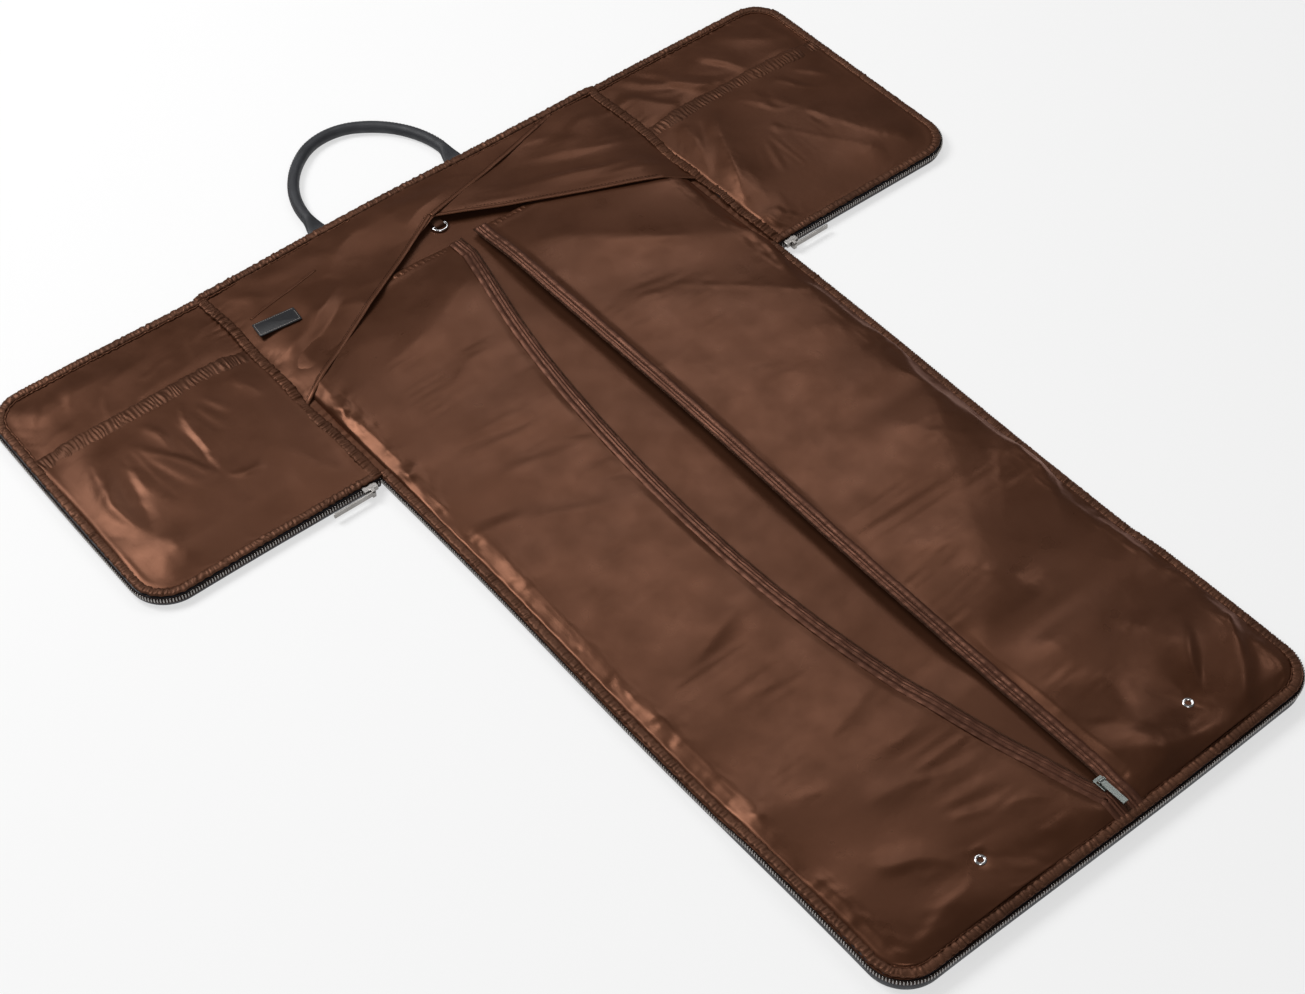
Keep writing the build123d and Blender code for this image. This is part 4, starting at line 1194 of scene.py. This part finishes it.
def shoulder_flaps():
    inner, left_low, right_low = HALF_W - 1.5 * MM, down(216), down(209)
    left = (-inner, FLAP_TOP), SEAM_TOP, (-inner, left_low), APEX
    right = SEAM_TOP, (inner, FLAP_TOP), APEX, (inner, right_low)
    for name, corners, seed in (("left", left, 80), ("right", right, 90)):
        plan = quad_patch(corners, 4 * MM)
        flap = dress(sheet_object(f"shoulder_flap_{name}_cloth", on_flap(plan, seed)), "lining")
        put(flap, "root", f"shoulder_flap_{name}")
        path, at = resample(on_flap(plan[:, -1], seed), 2 * MM)
        hem = sweep(f"shoulder_flap_{name}_hem", path, at, oval(2.6, 0.75, (1.6, 0.3), 10, 0.8))
        inset = plan[:, -1] * 0.965 + plan[:, -2] * 0.035 + np.array((0, 6.5 * MM))
        stitches = stitch_line(f"shoulder_flap_{name}_stitches", on_flap(inset, seed)[2:-2], lift=0.35)
        trims = [put(dress(hem, "lining"), "root"), put(stitches, "root")]
        declare_sheet(flap, "stretched", ["lining_neck"], trims)
    seam = np.stack([SEAM_TOP + (APEX - SEAM_TOP) * k for k in np.linspace(0, 1, 60)])
    path, at = resample(on_flap(seam, 80), 2 * MM)
    put(dress(sweep("shoulder_seam", path, at, oval(3.2, 0.7, (0, 0.35), 10, 0.8)), "lining"), "root")
    for k, shift in enumerate((-2.2 * MM, 2.2 * MM)):
        put(stitch_line(f"shoulder_seam_stitches_{k + 1}", path + left_of(path) * shift, lift=1.0), "root")
    dart = np.array([(-150 * MM, down(54)), (-191 * MM, down(63)), (-246 * MM, down(72))])
    path, at = resample(on_flap(dart, 80), 2 * MM)
    path = at_height(path, flap_surface(path[:, :2], 80))
    put(dress(sweep("lining_dart", path, at, oval(1.5, 0.5, (0, 0.2), 8)), "lining"), "root")


def zip_z(side, ys):
    """Height of each half of the garment zip: the right one stands proud until they close."""
    lift = 3.5 * MM * smooth((ys - down(935)) / 0.1) * (side > 0)
    sunk = smooth((ys - COVER_END_Y + 9 * MM) / (24 * MM))
    return held_down(ground(ys) + (edge_rise(side, ys) + lift) * sunk + 0.9 * MM, ys)


def zip_half(side, name):
    """Tape and coil along a cover's free edge. They close on each other near the end."""
    ys = spread(COVER_TOP_Y + 1 * MM, COVER_END_Y - 8 * MM, 1.5 * MM)
    if side > 0:
        x = ZIP_X + 0.6 * MM + 1.9 * MM * smooth((ys - down(1090)) / 0.03)
    else:
        x = np.where(ys < ZIP_MEETS, ZIP_X - 0.6 * MM, left_edge_x(ys))
    path, at = resample(sway(np.stack([x, ys, zip_z(side, ys)], 1)), 1.5 * MM)

    def tape(places):
        """Cross-section over the tape: two welts, a stitched groove and the cover's folded edge."""
        across = np.linspace(-0.4 * MM, 16.5 * MM, 35)
        rise = 0.25 * MM + sum(
            high * MM * np.exp(-(np.abs((across - at_mm * MM) / (wide * MM)) ** 2.4))
            for at_mm, high, wide in ((4.2, 1.0, 1.1), (7.4, 1.1, 1.3), (13.2, 1.3, 2.6))
        )
        top, under = np.stack([across, rise], 1), np.stack([across[::-1], 0 * across - 0.5 * MM], 1)
        out = np.repeat(np.concatenate([top, under])[None], len(places), 0)
        out[..., 0] *= side
        uneven = waves(places[:, None], out[..., 0], 0.012, 72 + side, 5)
        out[..., 1] += 0.25 * MM * (ripple(places, 0.03, 70 + side, 5)[:, None] + uneven)
        return out if side > 0 else out[:, ::-1]

    nodes = {"neck": ("neck",), "middle": ("base", "front"), "end": ("top",)}
    nodes = {part: [f"garment_zip_{node}" for node in several] for part, several in nodes.items()}
    cut_long(dress(sweep(f"garment_zip_tape_{name}", path, at, tape), "coil_tape"), nodes)
    co, faces = lozenge(2.6, 0.75, 0.9)
    turn = co[:, (1, 0, 2)], [f[::-1] for f in faces]
    cut_long(dress(copies(f"garment_zip_coil_{name}", path + UP * 0.75 * MM, 1.25 * MM, turn), "coil"))
    line = path + left_of(path) * (side * 10.2 * MM)
    cut_long(stitch_line(f"garment_zip_stitches_{name}", line, 3.4, 2.3, lift=0.7))


def hem_across(side, name):
    """The folded hem along a cover's free top edge."""
    start, end = ZIP_X + 5 * MM if side > 0 else 3 * MM, HALF_W - 16 * MM
    path, at = resample([(side * x, COVER_TOP_Y - 3.5 * MM, 0) for x in (start, end)], 1.1 * MM)
    x, y = path[:, 0], path[:, 1]
    highest = flap_z(x, y) - np.where(y > flap_edge_y(x) - 4 * MM, 2.8 * MM, -1)
    path[:, 2] = np.minimum(cover_height(side, name)(x, y) + 0.35 * MM, highest)

    def profile(places):
        out = oval(5, 0.6, (0, 0), 16, 0.8)(places)
        across = np.clip(1 - (out[..., 0] / (6 * MM)) ** 2, 0, 1)
        out[..., 1] += 1.1 * MM * puckers(places, 7 * MM, 76 + side)[:, None] * across
        return out

    put(dress(sweep(f"cover_{name}_hem", sway(path), at, profile), "cover"), "root")


# ---- edges: leather, binding and main zip


def end_path(side, inset, step):
    """Round an end panel, from its fold at the top to its fold at the bottom, outside on the left."""
    x0, x1 = side * (HALF_W - 1 * MM), side * (END_X - inset)
    top, low = END_TOP_Y - inset, END_LOW_Y + inset
    corners = [(x0, low), (x1, low), (x1, top), (x0, top)]
    return outline(corners[::-1] if side > 0 else corners, CORNER_R - inset, step)


def stem_path(inset, step):
    """Down the right side, round the end and up the left side, outside on the left."""
    x, end, top = HALF_W - inset, STEM_END_Y + inset, FOLD_Y[0] + 6 * MM
    return outline([(x, top), (x, end), (-x, end), (-x, top)], CORNER_R - inset, step)


def strip(name, key, path, at, z, profile):
    return dress(sweep(name, at_height(sway(path), z), at, profile), key)


def edge_set(name, path_of, place, z_of, binding_nodes, zip_nodes):
    """Binding, leather rim, zip tape and teeth along one outline. place puts each on its bodies."""

    def lay(part, key, inset, step, z, profile, nodes=()):
        path, at = path_of(inset * MM, step * MM)
        place(strip(f"{name}_{part}", key, path, at, z, profile), nodes)

    def below(depth):
        return lambda path: z_of(path) - depth * MM

    seed = len(name)
    lay("binding", "binding", 9, 1.1, z_of, gathered(4.8, 1.8, 0.6, 100 + seed), binding_nodes)
    lay("binding_seam", "lining", 14.6, 1.1, z_of, gathered(1.1, 0.8, 0.3, 110 + seed, 0.5))
    lay("leather_rim", "leather", 5.5, 2.5, 5.8 * MM, oval(2.6, 5.6, (0, 0), 14, 0.7))
    lay("zip_tape", "dark_tape", 3, 2.2, below(5.2), oval(0.9, 3.6, (0, 0), 12, 0.6), zip_nodes)
    path = at_height(sway(path_of(2 * MM, 1.1 * MM)[0]), below(4.2))
    place(dress(copies(f"{name}_zip_teeth", path, 3.1 * MM, tooth()), "teeth"), ())


def end_edges(side, name):
    def path_of(inset, step):
        return end_path(side, inset, step)

    def place(obj, nodes):
        if nodes:
            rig.replaces(obj, *nodes)
        on_end(obj, side, name)

    nodes = (f"{name}_end_binding",), (f"{name}_end_zip",)
    edge_set(f"{name}_edge", path_of, place, lambda path: LINING_Z + 0.6 * MM, *nodes)


def stem_edges():
    bindings = {"middle": ("base_binding", "front_binding"), "end": ("top_binding",)}
    zips = {"middle": ("base_side_zip", "front_side_zip"), "end": ("top_side_zip",)}
    edge_set("long", stem_path, cut_long, lambda path: ground(path[:, 1]) + 0.6 * MM, bindings, zips)


def back_edge():
    """The back panel's top edge: a ruched binding over the leather's edge."""

    def lay(part, key, y, step, z, profile, *stands_for):
        path, at = resample([(x, y, 0) for x in (-HALF_W + 1 * MM, HALF_W - 1 * MM)], step * MM)
        put(strip(f"back_{part}", key, path, at, z, profile), "root", *stands_for)

    lay("binding", "binding", down(5), 1.1, LINING_Z + 1.6 * MM, gathered(5, 1.9, 0.6, 131), "back_binding")
    lay("leather_rim", "leather", down(1.8), 2.5, 8.6 * MM, oval(1.9, 4.9, (0, 0), 14, 0.7))
    lay("binding_seam", "lining", down(12), 1.1, LINING_Z + 2.6 * MM, gathered(1.2, 0.8, 0.1, 133, 0.5))


def end_seams(side, name):
    """The gathered seam between the back panel and an end panel, and its leather piping outside."""
    line = [(side * (HALF_W + 0.5 * MM), y, 0) for y in (down(3), END_LOW_Y + 4 * MM)]
    path, at = resample(line, 1 * MM)
    path[:, 0] += side * 1.5 * MM * ripple(at, 0.12, 140 + side, 4)

    def z_of(path):
        return LINING_Z + 2.2 * MM + 0.7 * MM * ripple(path[:, 1], 0.05, 142, 4)

    profile = gathered(6.2, 1.8, 0, 144 + side, 1.5, 4.8)
    on_end(strip(f"{name}_end_seam", "elastic", path, at, z_of, profile), side, name)
    path, at = resample(line, 3 * MM)
    on_end(strip(f"{name}_end_piping", "leather", path, at, SHELL_UNDER - 1.2 * MM, oval(2, 2)), side, name)


def shells():
    """Leather panels: the long one with the back panel in one sheet, and one for each end panel."""
    x, y = long_grid(4.5 * MM, 4.5 * MM, TOP_Y - 1.5 * MM, 12 * MM, 6 * MM)
    lift = (TOP_SHELL_UNDER - SHELL_UNDER) * past_front(y)
    top = np.stack([x, y, SHELL_UNDER + SHELL_T + lift], -1)
    shell = dress(slab_object("shell", sway(top), SHELL_T), "leather")
    cut_long(shell, {"neck": ("back_shell",), "middle": ("base_shell", "front_shell"), "end": ("top_shell",)})
    for side, name in SIDES:
        x, y = end_grid(side, 6.5 * MM, 0.2 * MM, 6 * MM)
        top = np.stack([x, y, np.full_like(x, SHELL_UNDER + SHELL_T)], -1)
        panel = dress(slab_object(f"{name}_end_leather", sway(top), SHELL_T), "leather")
        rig.replaces(panel, f"{name}_end_shell")
        on_end(panel, side, name)


# ---- handles


def handle_plan(half, rise):
    """Half of a handle's line in plan, from its flat end to its crown: a three-centred arch."""
    top_r, to_centre = HANDLE_TOP_R, rise - HANDLE_TOP_R
    side_r = (half**2 + to_centre**2 - top_r**2) / (2 * (half - top_r))
    lean = math.atan2(to_centre, side_r - half)
    arch = [
        (side_r - half - side_r * math.cos(a), HANDLE_TAPER + side_r * math.sin(a))
        for a in np.linspace(0, lean, 14)
    ]
    arch += [
        (-top_r * math.cos(a), HANDLE_TAPER + to_centre + top_r * math.sin(a))
        for a in np.linspace(lean, math.pi / 2, 14)[1:]
    ]
    return [(-half, -HANDLE_TONGUE), (-half, 0), (-half, HANDLE_TAPER * 0.5)] + arch


def handle(name, direction, tab_body):
    """A rolled leather handle whose flat ends go under the panel, between its tabs and the floor."""
    lo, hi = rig.box(name)
    centre_x, grip_r = (lo.x + hi.x) / 2, (hi.z - lo.z) / 2
    half = (hi.x - lo.x) / 2 - HANDLE_END_HALF
    hinge = lo.y if direction > 0 else hi.y
    left_half = handle_plan(half, hi.y - lo.y - grip_r - HANDLE_TAPER)
    plan = left_half + [(-x, y) for x, y in left_half[-2::-1]]
    path, at = resample([(x, y, 0) for x, y in plan], 2.5 * MM)
    ends = np.minimum(at, at[-1] - at) - HANDLE_TONGUE
    flat = 1 - smooth((ends - 2 * MM) / (26 * MM))
    path[:, 2] = grip_r - (grip_r - 2.5 * MM) * flat

    def profile(places):
        angles = np.linspace(0, 2 * math.pi, 28, endpoint=False)
        ring = np.stack([np.cos(angles), np.sin(angles)], 1)
        size = np.stack([grip_r + (12.5 * MM - grip_r) * flat, grip_r + (2.1 * MM - grip_r) * flat], 1)
        crease = bell((angles - math.radians(20)) / 0.16)[None, :, None]
        uneven = 1 + 0.012 * ripple(places, 0.05, 150, 5)[:, None, None]
        return ring[None] * size[:, None] * uneven * (1 - 0.07 * crease * (1 - flat)[:, None, None])

    grip = sweep(f"{name}_grip", path, at, profile)
    round_part, tilt = ends > 26 * MM, math.radians(34)
    line = path + left_of(path) * grip_r * math.cos(tilt) + UP * grip_r * math.sin(tilt)
    stitches = stitch_line(f"{name}_stitches", line[round_part], 4.4, 3, "dark_stitch", 0, 0.8)
    for obj in (grip, stitches):
        reshape(obj, lambda co: co * (direction, direction, 1) + np.array((centre_x, hinge, 0)))
    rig.replaces(dress(grip, "handle"), name)
    bend = [(0, hinge + direction * d, 0) for d in (-7 * MM, 3 * MM)]
    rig.blend(grip, tab_body, name, start=bend[0], end=bend[1])
    put(stitches, name)
    tab_lo, tab_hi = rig.box(f"{name}_tabs")
    length, middle = tab_hi.y - tab_lo.y, (tab_lo.y + tab_hi.y) / 2
    for side, which in SIDES:
        centre = np.array((centre_x + side * half, middle, (tab_lo.z + tab_hi.z) / 2))
        tab = plate(f"{name}_tab_{which}", rounded_ring(30 * MM, length, 8 * MM), 2.6 * MM, 0.7 * MM)
        reshape(tab, lambda co: co + centre)
        if side < 0:
            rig.replaces(tab, f"{name}_tabs")
        put(dress(tab, "leather"), tab_body)
        ring = rounded_ring(24 * MM, length - 6 * MM, 6 * MM) + centre - UP * 1.2 * MM
        put(stitch_line(f"{tab.name}_stitches", ring, 4.2, 2.9, "dark_stitch", 0, 0.7), tab_body)


# ---- hardware


def eyelets():
    """Rolled metal grommets: a domed flange above and a flat one below the cloth."""
    a, around = np.linspace(0, 2 * math.pi, 20, endpoint=False), 48
    rolled = np.stack([4.3 * MM + 1.45 * MM * np.cos(a), 0.25 * MM + 1.15 * MM * np.sin(a)], 1)
    a = np.linspace(0, 2 * math.pi, around, endpoint=False)
    spokes = np.stack([np.cos(a), np.sin(a), 0 * a], 1)
    turned = spokes[:, None] * rolled[None, :, :1] + UP * rolled[None, :, 1:]
    for side, name in SIDES:
        co = turned + np.array((EYELET_X[name], EYELET_Y, EYELET_Z))
        shape = new_object(f"eyelet_{name}", co, loop_faces(around, len(rolled)), co[..., :2])
        if side < 0:
            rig.replaces(shape, "eyelets")
        put(dress(shape, "chrome"), "top")


def label():
    """Blank leather patch with its stitches, on the left shoulder flap."""
    tilt = Matrix.Rotation(-math.atan(0.048), 4, "X") @ Matrix.Rotation(math.radians(-7), 4, "Z")
    patch = plate("label", rounded_ring(50 * MM, 22 * MM, 1.5 * MM), 1.5 * MM, 0.45 * MM)
    ring = rounded_ring(46.4 * MM, 18.4 * MM, 0.8 * MM) + UP * 0.72 * MM
    stitches = stitch_line("label_stitches", ring, 2.6, 1.8, "pale_stitch", 0, 0.65)
    for piece in (dress(patch, "label"), stitches):
        piece.data.transform(Matrix.Translation(LABEL_AT) @ tilt)
        put(piece, "root")
    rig.replaces(patch, "label_patch")


def ring_strap():
    """The webbing loop that holds the hanger ring: a flat band, folded round the ring and sewn shut."""
    lo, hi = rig.box("ring_tab")
    half_w, thick, clear = 6 * MM, 0.32 * MM, 0.35 * MM
    x, z, r = (lo.x + hi.x) / 2, (lo.z + hi.z) / 2, (hi.z - lo.z) / 2 - clear
    low, high = lo.y + r + clear, hi.y - r - clear
    turn = np.linspace(0, math.pi, 14)
    loop = [(low - r * math.sin(a), r * math.cos(a)) for a in turn] + [((low + high) / 2, -r)]
    loop += [(high + r * math.sin(a), -r * math.cos(a)) for a in turn] + [((low + high) / 2, r)]
    loop = np.array(loop)
    ahead = np.roll(loop, -1, 0) - np.roll(loop, 1, 0)
    normal = unit(np.stack([ahead[:, 1], -ahead[:, 0]], 1))
    section = [(-1, -0.5), (-0.97, 1), (0.97, 1), (1, -0.5), (0.97, -1), (-0.97, -1)]
    co = [
        (x + across * half_w, y - ny * off * thick, z + up - nz * off * thick)
        for (y, up), (ny, nz) in zip(loop, normal)
        for across, off in section
    ]
    faces = [f[:1] + f[:0:-1] for f in loop_faces(len(loop), len(section))]
    strap = new_object("ring_strap", co, faces, np.array(co)[:, :2])
    seal(strap)
    put(dress(strap, "webbing"), "root", "ring_tab")
    seam = [(x + d, high - 3 * MM, z + r + thick) for d in (-5 * MM, 5 * MM)]
    put(stitch_line("ring_strap_stitches", seam, 1.9, 1.4, "stitch", 0.1, 0.45), "root")


def finish_cad_nodes():
    """Materials for the CAD nodes that stay, with softened edges on the zip sliders and pulls."""
    kept = {
        "foam": ("back_padding", "front_padding", "left_end_padding", "right_end_padding"),
        "board": ("base_board",),
        "chrome": ("hanger_ring",),
        "slider": ("garment_slider", "garment_pull"),
        "teeth": [f"{name}_end_{part}" for _, name in SIDES for part in ("slider", "pull")],
    }
    for key, names in kept.items():
        for name in names:
            node = frame["nodes"][name]
            node.data.materials.clear()
            node.data.materials.append(LOOK[key][1])
            if key in ("slider", "teeth"):
                node.modifiers.new("join", "WELD").merge_threshold = 0.02 * MM
                soften = node.modifiers.new("soften", "BEVEL")
                assign(soften, width=0.35 * MM, segments=2, limit_method="ANGLE")
                assign(soften, angle_limit=math.radians(40), harden_normals=False)


# ---- everything in place

long_lining()
for side, name in SIDES:
    end_lining(side, name)
    end_pocket(side, name)
    end_edges(side, name)
    end_seams(side, name)
    cover(side, name)
    hem_across(side, name)
    zip_half(side, name)
shoulder_flaps()
shells()
stem_edges()
back_edge()
handle("back_handle", 1, "root")
handle("front_handle", -1, "front")
eyelets()
label()
ring_strap()
finish_cad_nodes()

# ---- camera, light and floor

TARGET, DISTANCE = Vector((-0.0650, -0.0450, 0)), 2.4405
AZIMUTH, ELEVATION, ROLL = (math.radians(a) for a in (-37.575, 49.089, -1.850))
WHITE = (1, 1, 1)
SCENE = bpy.context.scene

level = math.cos(ELEVATION)
back = Vector((math.sin(AZIMUTH) * level, -math.cos(AZIMUTH) * level, math.sin(ELEVATION)))
right = Vector((0, 0, 1)).cross(back).normalized()
up = back.cross(right)
right, up = right * math.cos(ROLL) + up * math.sin(ROLL), up * math.cos(ROLL) - right * math.sin(ROLL)
camera = bpy.data.objects.new("camera", bpy.data.cameras.new("camera"))
assign(camera.data, sensor_width=36, sensor_fit="HORIZONTAL", lens=66.42, clip_end=30)
facing = Matrix((right, up, back)).transposed().to_4x4()
camera.matrix_world = Matrix.Translation(TARGET + back * DISTANCE) @ facing
SCENE.collection.objects.link(camera)
SCENE.camera = camera
SCENE.view_settings.view_transform = "Standard"

SCENE.world = bpy.data.worlds.new("studio")
SCENE.world.use_nodes = True
set_inputs(SCENE.world.node_tree.nodes["Background"], ("Color", (*WHITE, 1)), ("Strength", 0.13))


def soft_light(name, place, size, watts):
    light = bpy.data.lights.new(name, "AREA")
    assign(light, shape="DISK", size=size, energy=watts, color=WHITE)
    lamp = bpy.data.objects.new(name, light)
    facing = Vector(place).to_track_quat("Z", "Y").to_matrix().to_4x4()
    lamp.matrix_world = Matrix.Translation(place) @ facing
    SCENE.collection.objects.link(lamp)


soft_light("key", (-1.1, 1.9, 2.6), 1.6, 78)
soft_light("gloss", (1.15, 1.5, 2.5), 1.5, 16)
soft_light("fill", (-1.5, -2.4, 2.7), 1.8, 34)
soft_light("end_gloss", (2.1, 0.1, 2.4), 0.6, 5)

floor = new_object("floor", [(-12, -12, 0), (12, -12, 0), (12, 12, 0), (-12, 12, 0)], [[0, 1, 2, 3]])
paper, _, paper_shader = nodes_of("paper", (0.36, 0.36, 0.36), 0.9, specular=0.1)
set_inputs(paper_shader, ("Emission Color", (*WHITE, 1)), ("Emission Strength", 0.59))
floor.data.materials.append(paper)
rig.stage(floor)

with open("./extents.json", "w") as out:
    json.dump({"cad": [list(p) for p in CAD_BOX], "visual": [list(p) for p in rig.bounds()]}, out)
